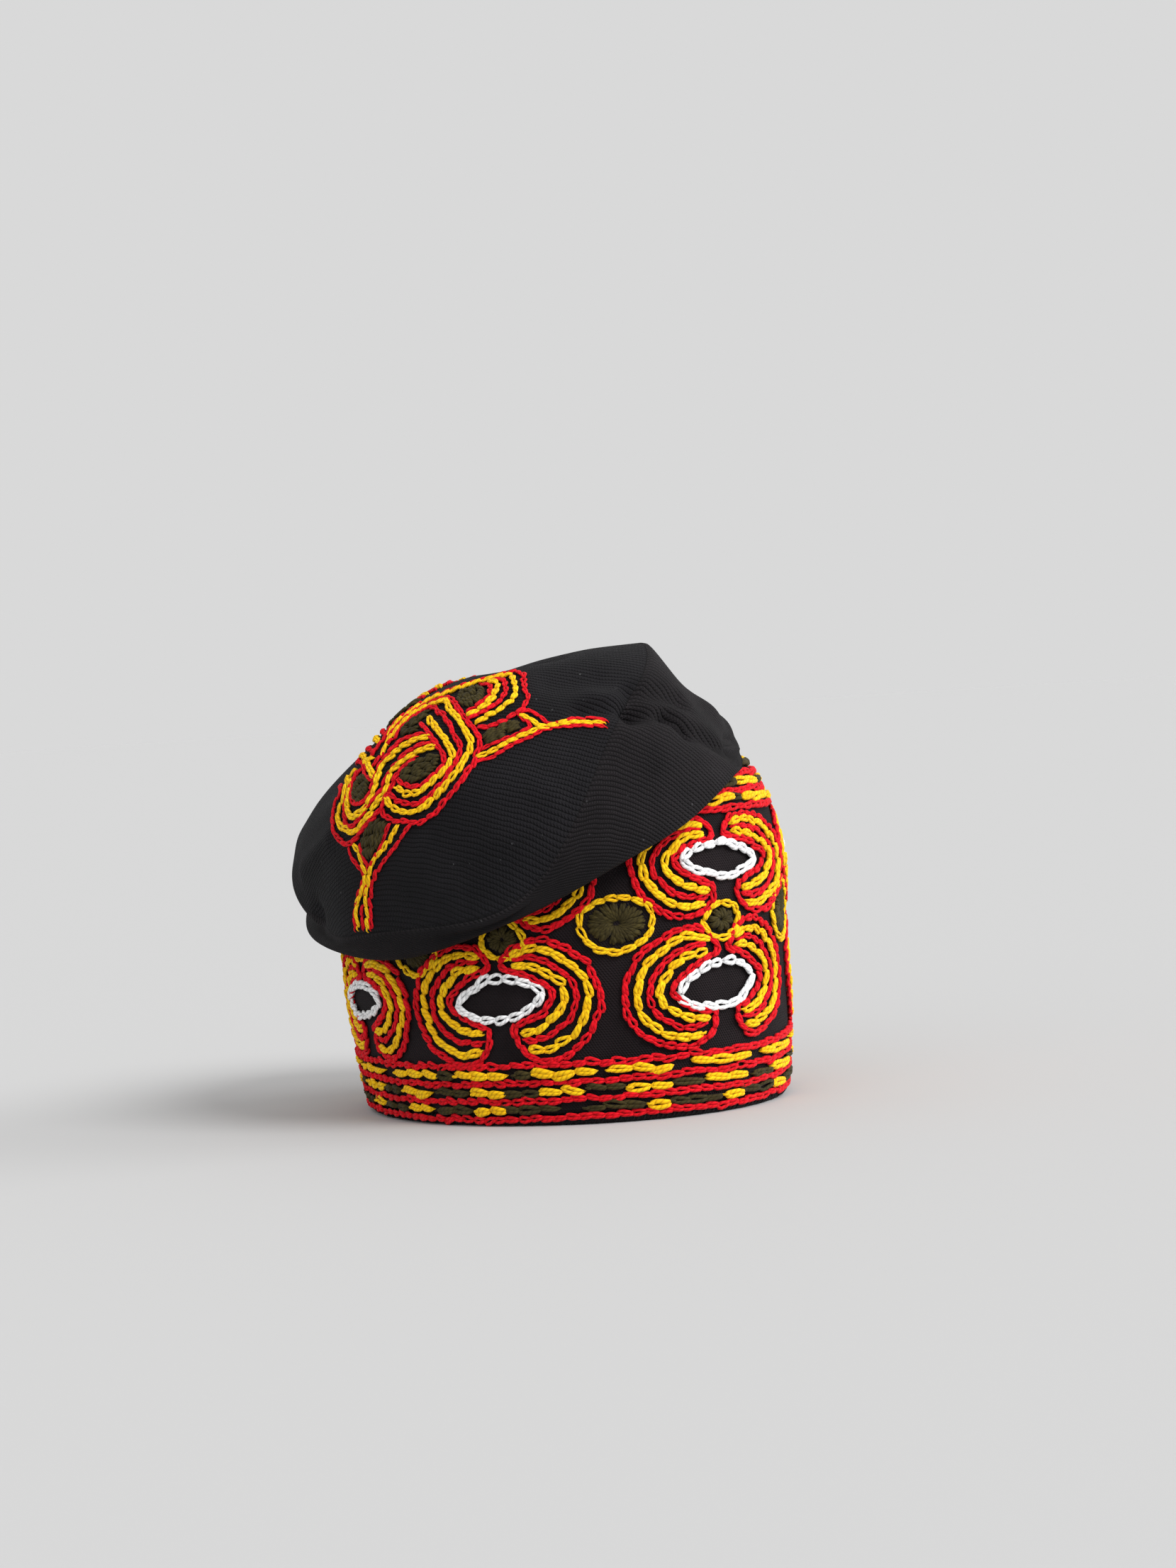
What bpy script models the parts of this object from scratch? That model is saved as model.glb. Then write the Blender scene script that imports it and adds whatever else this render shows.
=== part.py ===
"""An embroidered slouch cap: a tall stitched wall, and a soft round crown that has slumped over it."""

import math
from collections import namedtuple

import bpy
import numpy as np

# Cloth
BAND_CLOTH = 0.0024
CROWN_CLOTH = 0.0018
HEM_CLOTH = 0.0034
SEAM_GAP = 0.0003

# Heights above the surface that the cap stands on
HEM_HEIGHT = 0.0045
BAND_HEIGHT = 0.143
BAND_HEIGHTS = (HEM_HEIGHT + SEAM_GAP, 0.030, 0.060, 0.090, 0.113, 0.130, 0.137, BAND_HEIGHT)

# How finely the cloth is divided
COLUMNS = 72
UNDER_ROWS = 8
OUTER_ROWS = 10
TOP_RINGS = 10

# Colour of the plain cloth
BLACK = (0.012, 0.011, 0.012)

# The wall, as ovals at rising heights. right and back are how far an oval has leant towards the wearer's right and back.
Oval = namedtuple("Oval", "height half_length half_width right back")
WALL = (
    Oval(0.000, 0.0956, 0.0791, 0.0008, 0.0008),
    Oval(0.035, 0.1002, 0.0831, 0.0017, 0.0017),
    Oval(0.070, 0.1018, 0.0843, 0.0025, 0.0025),
    Oval(0.105, 0.1031, 0.0854, 0.0031, 0.0031),
    Oval(0.130, 0.0978, 0.0812, 0.0048, 0.0048),
    Oval(0.137, 0.0955, 0.0793, 0.0059, 0.0059),
    Oval(0.143, 0.0898, 0.0745, 0.0080, 0.0080),
)

# Where the crown's weight has bent the top of the wall inwards
BENT_TURN = 128.0
BENT_SPREAD = 68.0
BENT_FROM = 0.080
BENT_DEPTH = 0.012
BENT_DROP = 0.007

# The crown, as sections evenly spaced round its cloth. seam is where the round top is sewn on, and edge is the lowest
# line of the strip that hangs over the wall. bulge is how far the strip stands out between them.
Section = namedtuple(
    "Section",
    "seam_right seam_back seam_height edge_right edge_back edge_height bulge",
)
CROWN = (
    Section(0.1100, 0.0045, 0.081, 0.1010, 0.0060, 0.0695, 0.002),
    Section(0.1035, -0.0365, 0.084, 0.0975, -0.0330, 0.0755, 0.001),
    Section(0.0885, -0.0645, 0.094, 0.0820, -0.0660, 0.0880, 0.001),
    Section(0.0710, -0.0790, 0.123, 0.0600, -0.0910, 0.1040, 0.004),
    Section(0.0480, -0.0790, 0.155, 0.0340, -0.1015, 0.1170, 0.005),
    Section(0.0220, -0.0730, 0.177, 0.0050, -0.1000, 0.1315, 0.004),
    Section(-0.0060, -0.0480, 0.191, -0.0245, -0.0840, 0.1400, 0.001),
    Section(-0.0200, -0.0180, 0.188, -0.0490, -0.0540, 0.1480, 0.003),
    Section(-0.0240, 0.0140, 0.181, -0.0610, -0.0270, 0.1540, 0.001),
    Section(-0.0140, 0.0470, 0.173, -0.0650, 0.0060, 0.1560, 0.002),
    Section(0.0080, 0.0780, 0.163, -0.0610, 0.0400, 0.1550, 0.003),
    Section(0.0350, 0.0960, 0.142, -0.0460, 0.0730, 0.1500, 0.003),
    Section(0.0660, 0.0960, 0.119, -0.0240, 0.1060, 0.1400, 0.003),
    Section(0.0880, 0.0740, 0.099, 0.0160, 0.1160, 0.1180, 0.003),
    Section(0.0960, 0.0520, 0.086, 0.0610, 0.0940, 0.0890, 0.002),
    Section(0.1060, 0.0280, 0.080, 0.0910, 0.0540, 0.0750, 0.002),
)
FIRST_TURN = 91.0
SEAM_RADIUS = 0.098

# The first row of faces beside each sewn edge is this short, so that both sides of a seam face the same way
FIRST_ROW = 0.0014
FIRST_INSET = 1.0 - FIRST_ROW / SEAM_RADIUS

# The strip stands this far up from the wall before it turns over, and is rolled this tightly at its lowest edge
LIFT = 0.0032
ROLL = 0.005
HANG_FULL = 0.015
CLEARANCE = 0.0018
FADE = 0.003

# Folds and dents of the crown. Each runs straight from a point, is this wide, and pushes the cloth this way.
Fold = namedtuple("Fold", "name right back height run_right run_back run_up width push_right push_back push_up")
FOLDS = (
    Fold("dimple in seam", 0.0345, -0.0790, 0.1645, 0.0, 0.0, 0.0, 0.0060, -0.0016, 0.0038, -0.0029),
    Fold("crease above arm", 0.0537, -0.0689, 0.1646, -0.0167, -0.0094, 0.0, 0.0038, -0.0012, 0.0022, -0.0017),
    Fold("ridge on crease", 0.0443, -0.0682, 0.1710, -0.0056, -0.0066, -0.0034, 0.0060, 0.0007, -0.0013, 0.0013),
    Fold("hollow under peak", 0.0382, -0.0629, 0.1776, 0.0120, 0.0100, -0.0030, 0.0090, -0.0009, 0.0014, -0.0025),
    Fold("upper pucker", 0.0299, -0.0761, 0.1711, -0.0230, -0.0047, -0.0039, 0.0050, 0.0, 0.0033, -0.0024),
    Fold("round lobe", -0.0240, -0.0660, 0.1600, 0.0, 0.0, 0.0, 0.0110, -0.0022, -0.0026, 0.0026),
    Fold("lower pucker start", 0.0354, -0.0806, 0.1624, -0.0157, -0.0050, -0.0013, 0.0042, 0.0, 0.0035, -0.0020),
    Fold("lower pucker turn", 0.0197, -0.0856, 0.1611, -0.0050, -0.0044, -0.0070, 0.0042, 0.0, 0.0030, -0.0020),
    Fold("lower pucker end", 0.0147, -0.0900, 0.1541, -0.0267, -0.0020, -0.0116, 0.0048, 0.0008, 0.0036, -0.0012),
    Fold("front bulge", 0.0339, -0.0914, 0.1468, 0.0, 0.0, 0.0, 0.0160, 0.0008, -0.0021, 0.0012),
    Fold("lowest tip", -0.0160, -0.0925, 0.1370, 0.0, 0.0, 0.0, 0.0070, -0.0010, -0.0012, 0.0),
    Fold("ridge on right", 0.1040, 0.0306, 0.1190, -0.0102, 0.0288, -0.0122, 0.0060, 0.0018, 0.0007, 0.0003),
    Fold("notch on right", 0.0960, 0.0474, 0.0879, 0.0, 0.0, 0.0, 0.0065, -0.0033, -0.0012, 0.0005),
    Fold("ridge over rim", 0.0966, -0.0417, 0.1368, -0.0197, -0.0277, -0.0021, 0.0100, 0.0015, -0.0011, 0.0005),
    Fold("hollow behind knot", 0.0720, 0.0500, 0.1560, 0.0, 0.0, 0.0, 0.0230, -0.0050, -0.0050, -0.0070),
    Fold("step before peak", 0.0300, -0.0235, 0.1880, 0.0060, 0.0060, -0.0020, 0.0120, 0.0, 0.0, -0.0060),
    Fold("lobe over rim", -0.0430, -0.0560, 0.1600, 0.0, 0.0, 0.0, 0.0120, -0.0060, -0.0060, 0.0010),
    Fold("gap under lobe", -0.0360, -0.0740, 0.1460, 0.0200, -0.0100, -0.0040, 0.0055, 0.0060, 0.0060, 0.0),
    Fold("flat side behind", 0.0760, 0.0900, 0.1120, 0.0, 0.0, 0.0, 0.0160, -0.0014, -0.0014, 0.0),
    Fold("dip behind it", 0.0300, 0.0, 0.1830, 0.0, 0.0, 0.0, 0.0150, 0.0, 0.0, -0.0020),
    Fold("first back fold", -0.0240, 0.1060, 0.1400, 0.0200, -0.0220, 0.0220, 0.0090, 0.0015, -0.0030, -0.0010),
    Fold("second back fold", 0.0250, 0.1180, 0.1240, 0.0080, -0.0200, 0.0200, 0.0090, 0.0, -0.0030, -0.0010),
    Fold("left fold", -0.0640, 0.0200, 0.1560, 0.0300, 0.0060, 0.0160, 0.0080, 0.0020, 0.0, -0.0026),
)

# From the middle of the hem to the middle of the whole cap, which is stored over the origin
MIDDLE_RIGHT = 0.0146
MIDDLE_BACK = 0.0072

# How far the middle of the round top is puffed out of the plain film across its seam
PUFF_RIGHT = 0.039
PUFF_BACK = -0.0135
PUFF_UP = 0.0315


def wearer(right, back, height):
    """A point from how far right, back and up it lies for someone wearing the cap, who looks along -Y."""
    return np.stack(np.broadcast_arrays(-right, back, height), axis=-1)


def film(rows, angles, inset):
    """The soap film across a closed ring of evenly spaced rows, at the angles and at inset times its radius."""
    count = len(rows)
    waves = np.fft.rfft(rows, axis=0) / count
    order = np.arange(len(waves))
    share = np.where((order == 0) | (order == count / 2), 1.0, 2.0)
    turning = np.exp(1j * np.outer(angles, order)) * share * inset**order
    return np.real(turning @ waves)


def smooth_between(table, column, height):
    """A column of the wall's table at any height, by a smooth curve through its rows."""
    heights = np.array([row.height for row in table])
    values = np.array([getattr(row, column) for row in table])
    slopes = np.gradient(values, heights)
    place = np.clip(np.searchsorted(heights, height) - 1, 0, len(table) - 2)
    span = heights[place + 1] - heights[place]
    t = (height - heights[place]) / span
    return (
        values[place] * (1 + 2 * t) * (1 - t) ** 2
        + values[place + 1] * t * t * (3 - 2 * t)
        + span * (slopes[place] * t * (1 - t) ** 2 - slopes[place + 1] * t * t * (1 - t))
    )


def bend(turns, rise):
    """How far the wall is bent inwards at these bearings, at a share of the way up from where the bend starts."""
    aside = (np.degrees(turns) - BENT_TURN + 180.0) % 360.0 - 180.0
    return BENT_DEPTH * rise**2 * np.exp(-((aside / BENT_SPREAD) ** 2))


def wall_ring(turns, height):
    """The wall's outside at one height, at bearings from its own centre, turned from the front towards the right."""
    length = smooth_between(WALL, "half_length", height)
    width = smooth_between(WALL, "half_width", height)
    rise = np.clip((height - BENT_FROM) / (BAND_HEIGHT - BENT_FROM), 0.0, 1.0)
    bent = bend(turns, rise)
    right = smooth_between(WALL, "right", height) + (width - bent) * np.sin(turns)
    back = smooth_between(WALL, "back", height) - (length - bent) * np.cos(turns)
    return wearer(right, back, height - bent * BENT_DROP / BENT_DEPTH)


def clear_of_wall(points, clearance, fade):
    """The points, with those below the wall's rim moved out to at least this far from its outside, and less over fade."""
    height = np.clip(points[..., 2], 0.0, BAND_HEIGHT)
    centre_right = np.vectorize(lambda h: smooth_between(WALL, "right", h))(height)
    centre_back = np.vectorize(lambda h: smooth_between(WALL, "back", h))(height)
    length = np.vectorize(lambda h: smooth_between(WALL, "half_length", h))(height)
    width = np.vectorize(lambda h: smooth_between(WALL, "half_width", h))(height)
    right = -points[..., 0] - centre_right
    back = points[..., 1] - centre_back
    turns = np.arctan2(right / width, -back / length)
    rise = np.clip((height - BENT_FROM) / (BAND_HEIGHT - BENT_FROM), 0.0, 1.0)
    bent = bend(turns, rise)
    reach = np.hypot((width - bent) * np.sin(turns), (length - bent) * np.cos(turns)) + clearance
    rim = BAND_HEIGHT - bend(turns, 1.0) * BENT_DROP / BENT_DEPTH
    below = np.clip((rim + fade - points[..., 2]) / (0.7 * fade), 0.0, 1.0)
    away = np.hypot(right, back)
    short = np.maximum(reach - away, 0.0) * below / away
    moved = points.copy()
    moved[..., 0] -= right * short
    moved[..., 1] += back * short
    return moved


def crown_ring(place):
    """The crown's seam or edge, as a point a section."""
    columns = [np.array([getattr(row, f"{place}_{way}") for row in CROWN]) for way in ("right", "back", "height")]
    return wearer(*columns)


def rounded(corners, times=4):
    """Lines with their inner corners cut again and again, which makes them smooth."""
    for _ in range(times):
        near = 0.75 * corners[:-1] + 0.25 * corners[1:]
        far = 0.25 * corners[:-1] + 0.75 * corners[1:]
        cut = np.stack([near, far], axis=1).reshape(-1, *corners.shape[1:])
        corners = np.concatenate([corners[:1], cut[1:-1], corners[-1:]])
    return corners


def respaced(lines, rows):
    """Each line again, as this many points that lie evenly along it."""
    result = np.empty((rows, *lines.shape[1:]))
    for column in range(lines.shape[1]):
        line = lines[:, column]
        along = np.concatenate([[0.0], np.cumsum(np.linalg.norm(np.diff(line, axis=0), axis=1))])
        places = np.linspace(0.0, along[-1], rows)
        for axis in range(3):
            result[:, column, axis] = np.interp(places, along, line[:, axis])
    return result


def folded(points):
    """The crown's points, moved by each row of its table of folds."""
    moved = points.copy()
    for fold in FOLDS:
        start = wearer(fold.right, fold.back, fold.height)
        run = wearer(fold.run_right, fold.run_back, fold.run_up)
        length = max(float(run @ run), 1e-12)
        share = np.clip((points - start) @ run / length, 0.0, 1.0)
        away = np.linalg.norm(points - start - share[..., None] * run, axis=-1)
        weight = np.exp(-((away / fold.width) ** 2))
        moved += weight[..., None] * wearer(fold.push_right, fold.push_back, fold.push_up)
    return moved


def top_surface(angles, insets):
    """The round top: the film across the seam, puffed up in the middle."""
    seam = crown_ring("seam")
    puff = wearer(PUFF_RIGHT, PUFF_BACK, PUFF_UP)
    rings = [film(seam, angles, inset) + (1.0 - inset**2) * puff for inset in insets]
    return np.array(rings)


def side_surface(angles, under_rows, outer_rows):
    """The strip from the wall's top, down to its lowest edge, and up its outside to the seam."""
    turns = np.radians(FIRST_TURN) - angles
    sewn = wall_ring(turns, BAND_HEIGHT)
    sewn[:, 2] += SEAM_GAP
    edge = film(crown_ring("edge"), angles, 1.0)
    seam, inside = top_surface(angles, (1.0, FIRST_INSET))
    bulge = film(np.array([row.bulge for row in CROWN])[:, None], angles, 1.0)
    out = edge - sewn.mean(axis=0)
    out[:, 2] = 0.0
    out /= np.linalg.norm(out, axis=1, keepdims=True)
    up = np.array((0.0, 0.0, 1.0))
    onward = (seam - inside) / np.linalg.norm(seam - inside, axis=1, keepdims=True)
    hang = np.clip((sewn[:, 2:] - edge[:, 2:]) / HANG_FULL, 0.0, 1.0)
    start = sewn + FIRST_ROW * up
    crest = start + LIFT * (0.3 + 0.7 * hang) * up
    inner = edge + hang * ROLL * (1.4 * up - out)
    corners = np.array(
        [
            start,
            crest,
            crest + hang * LIFT * (0.4 * up + out),
            0.55 * (crest + 1.5 * hang * LIFT * out) + 0.45 * inner,
            inner,
            edge - 0.65 * hang * ROLL * out,
            edge + 0.65 * hang * ROLL * out,
            0.5 * (edge + seam) + bulge * out,
            seam + 0.7 * ROLL * onward,
            seam + FIRST_ROW * onward,
        ]
    )
    lines = rounded(corners)
    lowest = round((len(lines) - 1) * 5.5 / (len(corners) - 1))
    under = respaced(lines[: lowest + 1], under_rows)
    outer = respaced(lines[lowest:], outer_rows)
    end = seam + 0.5 * SEAM_GAP * onward
    return np.concatenate([sewn[None], under, outer[1:], end[None]])


def cloth(name, rings, thickness, colour, closed_end=None, even=True):
    """One piece of cloth: rings of points, outside faces out, given thickness inwards. closed_end shuts its last ring."""
    count = rings.shape[1]
    middle = wearer(MIDDLE_RIGHT, MIDDLE_BACK, 0.0)
    points = [tuple(point - middle) for ring in rings for point in ring]
    faces = []
    for row in range(len(rings) - 1):
        for column in range(count):
            beside = (column + 1) % count
            lower = row * count
            upper = lower + count
            faces.append((lower + column, lower + beside, upper + beside, upper + column))
    if closed_end is not None:
        points.append(tuple(closed_end - middle))
        last = (len(rings) - 1) * count
        faces += [(last + column, last + (column + 1) % count, len(points) - 1) for column in range(count)]
    mesh = bpy.data.meshes.new(name)
    mesh.from_pydata(points, [], faces)
    mesh.update()
    material = bpy.data.materials.new(name)
    material.use_nodes = True
    shader = material.node_tree.nodes["Principled BSDF"]
    shader.inputs["Base Color"].default_value = (*colour, 1.0)
    shader.inputs["Roughness"].default_value = 0.9
    mesh.materials.append(material)
    piece = bpy.data.objects.new(name, mesh)
    solidify = piece.modifiers.new("thickness", "SOLIDIFY")
    solidify.thickness = thickness
    solidify.offset = -1.0
    solidify.use_even_offset = even
    return piece


def build():
    for old in list(bpy.data.objects):
        bpy.data.objects.remove(old)
    angles = np.linspace(0.0, 2.0 * math.pi, COLUMNS, endpoint=False)
    turns = np.radians(FIRST_TURN) - angles

    hem_rows = np.array([wall_ring(turns, 0.5 * HEM_HEIGHT)] * 2)
    hem_rows[0, :, 2] = 0.0
    hem_rows[1, :, 2] = HEM_HEIGHT
    band_rows = np.array([wall_ring(turns, height) for height in BAND_HEIGHTS])
    side_rows = side_surface(angles, UNDER_ROWS, OUTER_ROWS)
    loose = np.clip(np.arange(len(side_rows)) / UNDER_ROWS, 0.0, 1.0)[:, None, None]
    side_rows += loose * (folded(side_rows) - side_rows)
    outer = np.clip((np.arange(len(side_rows) - 2) - 0.4 * UNDER_ROWS) / (0.6 * UNDER_ROWS), 0.0, 1.0)[:, None]
    side_rows[2:] = clear_of_wall(side_rows[2:], CLEARANCE + 2.5 * CROWN_CLOTH * outer, FADE + FADE * outer)
    insets = np.append(1.0 - 0.5 * SEAM_GAP / SEAM_RADIUS, np.linspace(FIRST_INSET, 0.0, TOP_RINGS))
    top_rows = folded(top_surface(angles, insets))

    cap = bpy.data.collections.new("embroidered_cap")
    bpy.context.scene.collection.children.link(cap)
    cap.objects.link(cloth("hem", hem_rows, HEM_CLOTH, BLACK))
    cap.objects.link(cloth("band", band_rows, BAND_CLOTH, BLACK))
    cap.objects.link(cloth("crown_side", side_rows, CROWN_CLOTH, BLACK, even=False))
    cap.objects.link(cloth("crown_top", top_rows[:-1], CROWN_CLOTH, BLACK, top_rows[-1, 0]))


build()
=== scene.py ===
"""The embroidered slouch cap, dressed: ribbed black knit, and wool chain stitch on its wall and top."""

import math
from collections import namedtuple

import bpy
import numpy as np
from mathutils import Matrix, Vector


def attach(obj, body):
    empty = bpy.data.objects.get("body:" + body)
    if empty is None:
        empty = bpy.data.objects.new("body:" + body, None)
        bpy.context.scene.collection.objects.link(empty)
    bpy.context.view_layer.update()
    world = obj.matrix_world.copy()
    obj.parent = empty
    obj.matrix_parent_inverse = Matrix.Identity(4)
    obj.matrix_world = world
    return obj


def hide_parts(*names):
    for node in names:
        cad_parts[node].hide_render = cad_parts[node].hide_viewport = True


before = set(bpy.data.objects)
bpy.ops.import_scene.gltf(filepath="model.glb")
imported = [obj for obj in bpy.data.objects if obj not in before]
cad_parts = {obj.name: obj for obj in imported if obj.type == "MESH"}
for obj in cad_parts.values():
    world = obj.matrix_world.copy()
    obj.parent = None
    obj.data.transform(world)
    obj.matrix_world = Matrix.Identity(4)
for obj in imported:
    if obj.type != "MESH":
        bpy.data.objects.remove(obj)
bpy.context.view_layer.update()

MM = 0.001

# Cloth
BAND_CLOTH = 0.0024
CROWN_CLOTH = 0.0018
SEAM_GAP = 0.0003
HEM_HEIGHT = 0.0045
BAND_HEIGHT = 0.143

# The wall, as ovals at rising heights
Oval = namedtuple("Oval", "height half_length half_width right back")
WALL = (
    Oval(0.000, 0.0956, 0.0791, 0.0008, 0.0008),
    Oval(0.035, 0.1002, 0.0831, 0.0017, 0.0017),
    Oval(0.070, 0.1018, 0.0843, 0.0025, 0.0025),
    Oval(0.105, 0.1031, 0.0854, 0.0031, 0.0031),
    Oval(0.130, 0.0978, 0.0812, 0.0048, 0.0048),
    Oval(0.137, 0.0955, 0.0793, 0.0059, 0.0059),
    Oval(0.143, 0.0898, 0.0745, 0.0080, 0.0080),
)
BENT_TURN = 128.0
BENT_SPREAD = 68.0
BENT_FROM = 0.080
BENT_DEPTH = 0.012
BENT_DROP = 0.007

# The crown, as sections evenly spaced round its cloth
Section = namedtuple("Section", "seam_right seam_back seam_height edge_right edge_back edge_height bulge")
CROWN = (
    Section(0.1100, 0.0045, 0.081, 0.1010, 0.0060, 0.0695, 0.002),
    Section(0.1035, -0.0365, 0.084, 0.0975, -0.0330, 0.0755, 0.001),
    Section(0.0885, -0.0645, 0.094, 0.0820, -0.0660, 0.0880, 0.001),
    Section(0.0710, -0.0790, 0.123, 0.0600, -0.0910, 0.1040, 0.004),
    Section(0.0480, -0.0790, 0.155, 0.0340, -0.1015, 0.1170, 0.005),
    Section(0.0220, -0.0730, 0.177, 0.0050, -0.1000, 0.1315, 0.004),
    Section(-0.0060, -0.0480, 0.191, -0.0245, -0.0840, 0.1400, 0.001),
    Section(-0.0200, -0.0180, 0.188, -0.0490, -0.0540, 0.1480, 0.003),
    Section(-0.0240, 0.0140, 0.181, -0.0610, -0.0270, 0.1540, 0.001),
    Section(-0.0140, 0.0470, 0.173, -0.0650, 0.0060, 0.1560, 0.002),
    Section(0.0080, 0.0780, 0.163, -0.0610, 0.0400, 0.1550, 0.003),
    Section(0.0350, 0.0960, 0.142, -0.0460, 0.0730, 0.1500, 0.003),
    Section(0.0660, 0.0960, 0.119, -0.0240, 0.1060, 0.1400, 0.003),
    Section(0.0880, 0.0740, 0.099, 0.0160, 0.1160, 0.1180, 0.003),
    Section(0.0960, 0.0520, 0.086, 0.0610, 0.0940, 0.0890, 0.002),
    Section(0.1060, 0.0280, 0.080, 0.0910, 0.0540, 0.0750, 0.002),
)
FIRST_TURN = 91.0
SEAM_RADIUS = 0.098
FIRST_ROW = 0.0014
FIRST_INSET = 1.0 - FIRST_ROW / SEAM_RADIUS
LIFT = 0.0032
ROLL = 0.005
HANG_FULL = 0.015
CLEARANCE = 0.0018
FADE = 0.003
SEWN_SHARE = 0.05
MIDDLE_RIGHT = 0.0146
MIDDLE_BACK = 0.0072
PUFF_RIGHT = 0.039
PUFF_BACK = -0.0135
PUFF_UP = 0.0315

# Folds and dents of the crown. Each runs straight from a point, is this wide, and pushes the cloth this way.
Fold = namedtuple(
    "Fold", "name right back height run_right run_back run_up width push_right push_back push_up"
)
FOLDS = (
    Fold("dimple in seam", 0.0345, -0.0790, 0.1645, 0.0, 0.0, 0.0, 0.0060, -0.0016, 0.0038, -0.0029),
    Fold("crease above arm", 0.0537, -0.0689, 0.1646, -0.0167, -0.0094, 0.0, 0.0038, -0.0012, 0.0022, -0.0017),
    Fold("ridge on crease", 0.0443, -0.0682, 0.1710, -0.0056, -0.0066, -0.0034, 0.0060, 0.0007, -0.0013, 0.0013),
    Fold("hollow under peak", 0.0382, -0.0629, 0.1776, 0.0120, 0.0100, -0.0030, 0.0090, -0.0009, 0.0014, -0.0025),
    Fold("upper pucker", 0.0299, -0.0761, 0.1711, -0.0230, -0.0047, -0.0039, 0.0050, 0.0, 0.0033, -0.0024),
    Fold("round lobe", -0.0240, -0.0660, 0.1600, 0.0, 0.0, 0.0, 0.0110, -0.0022, -0.0026, 0.0026),
    Fold("lower pucker start", 0.0354, -0.0806, 0.1624, -0.0157, -0.0050, -0.0013, 0.0042, 0.0, 0.0035, -0.0020),
    Fold("lower pucker turn", 0.0197, -0.0856, 0.1611, -0.0050, -0.0044, -0.0070, 0.0042, 0.0, 0.0030, -0.0020),
    Fold("lower pucker end", 0.0147, -0.0900, 0.1541, -0.0267, -0.0020, -0.0116, 0.0048, 0.0008, 0.0036, -0.0012),
    Fold("front bulge", 0.0339, -0.0914, 0.1468, 0.0, 0.0, 0.0, 0.0160, 0.0008, -0.0021, 0.0012),
    Fold("lowest tip", -0.0160, -0.0925, 0.1370, 0.0, 0.0, 0.0, 0.0070, -0.0010, -0.0012, 0.0),
    Fold("ridge on right", 0.1040, 0.0306, 0.1190, -0.0102, 0.0288, -0.0122, 0.0060, 0.0018, 0.0007, 0.0003),
    Fold("notch on right", 0.0960, 0.0474, 0.0879, 0.0, 0.0, 0.0, 0.0065, -0.0033, -0.0012, 0.0005),
    Fold("ridge over rim", 0.0966, -0.0417, 0.1368, -0.0197, -0.0277, -0.0021, 0.0100, 0.0015, -0.0011, 0.0005),
    Fold("hollow behind knot", 0.0720, 0.0500, 0.1560, 0.0, 0.0, 0.0, 0.0230, -0.0050, -0.0050, -0.0070),
    Fold("step before peak", 0.0300, -0.0235, 0.1880, 0.0060, 0.0060, -0.0020, 0.0120, 0.0, 0.0, -0.0060),
    Fold("lobe over rim", -0.0430, -0.0560, 0.1600, 0.0, 0.0, 0.0, 0.0120, -0.0060, -0.0060, 0.0010),
    Fold("gap under lobe", -0.0360, -0.0740, 0.1460, 0.0200, -0.0100, -0.0040, 0.0055, 0.0060, 0.0060, 0.0),
    Fold("flat side behind", 0.0760, 0.0900, 0.1120, 0.0, 0.0, 0.0, 0.0160, -0.0014, -0.0014, 0.0),
    Fold("dip behind it", 0.0300, 0.0, 0.1830, 0.0, 0.0, 0.0, 0.0150, 0.0, 0.0, -0.0020),
    Fold("first back fold", -0.0240, 0.1060, 0.1400, 0.0200, -0.0220, 0.0220, 0.0090, 0.0015, -0.0030, -0.0010),
    Fold("second back fold", 0.0250, 0.1180, 0.1240, 0.0080, -0.0200, 0.0200, 0.0090, 0.0, -0.0030, -0.0010),
    Fold("left fold", -0.0640, 0.0200, 0.1560, 0.0300, 0.0060, 0.0160, 0.0080, 0.0020, 0.0, -0.0026),
)

# How finely the visible cloth is divided
COLUMNS = 432
BAND_ROWS = 64
UNDER_ROWS = 20
OUTER_ROWS = 48
TOP_RINGS = 44


def unit(vectors):
    """The vectors, each one long."""
    return vectors / np.maximum(np.linalg.norm(vectors, axis=-1, keepdims=True), 1e-12)


def wearer(right, back, height):
    """A point from how far right, back and up it lies for someone wearing the cap, who looks along -Y."""
    return np.stack(np.broadcast_arrays(-right, back, height), axis=-1)


MIDDLE = wearer(MIDDLE_RIGHT, MIDDLE_BACK, 0.0)


def lengths(line):
    """How far along a line each of its points lies."""
    return np.concatenate([[0.0], np.cumsum(np.linalg.norm(np.diff(line, axis=0), axis=1))])


def evenly(line, count):
    """The line again as this many evenly spaced points."""
    along = lengths(line)
    places = np.linspace(0.0, along[-1], count)
    return np.stack([np.interp(places, along, values) for values in line.T], axis=1)


def film(rows, angles, insets):
    """The soap film across a closed ring of evenly spaced rows, at each angle and share of its radius."""
    count = len(rows)
    waves = np.fft.rfft(rows, axis=0) / count
    order = np.arange(len(waves))
    share = np.where((order == 0) | (order == count / 2), 1.0, 2.0)
    angles, insets = np.broadcast_arrays(angles, insets)
    turning = np.exp(1j * angles[..., None] * order) * share * insets[..., None] ** order
    return np.real(turning @ waves)


def wall_sizes(height):
    """Each size in the wall's table at any height, by a smooth curve through its rows."""
    heights = np.array([row.height for row in WALL])
    place = np.clip(np.searchsorted(heights, height) - 1, 0, len(WALL) - 2)
    span = heights[place + 1] - heights[place]
    t = (height - heights[place]) / span
    for values in np.array(WALL).T[1:]:
        slopes = np.gradient(values, heights)
        yield (
            values[place] * (1 + 2 * t) * (1 - t) ** 2
            + values[place + 1] * t * t * (3 - 2 * t)
            + span * (slopes[place] * t * (1 - t) ** 2 - slopes[place + 1] * t * t * (1 - t))
        )


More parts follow.
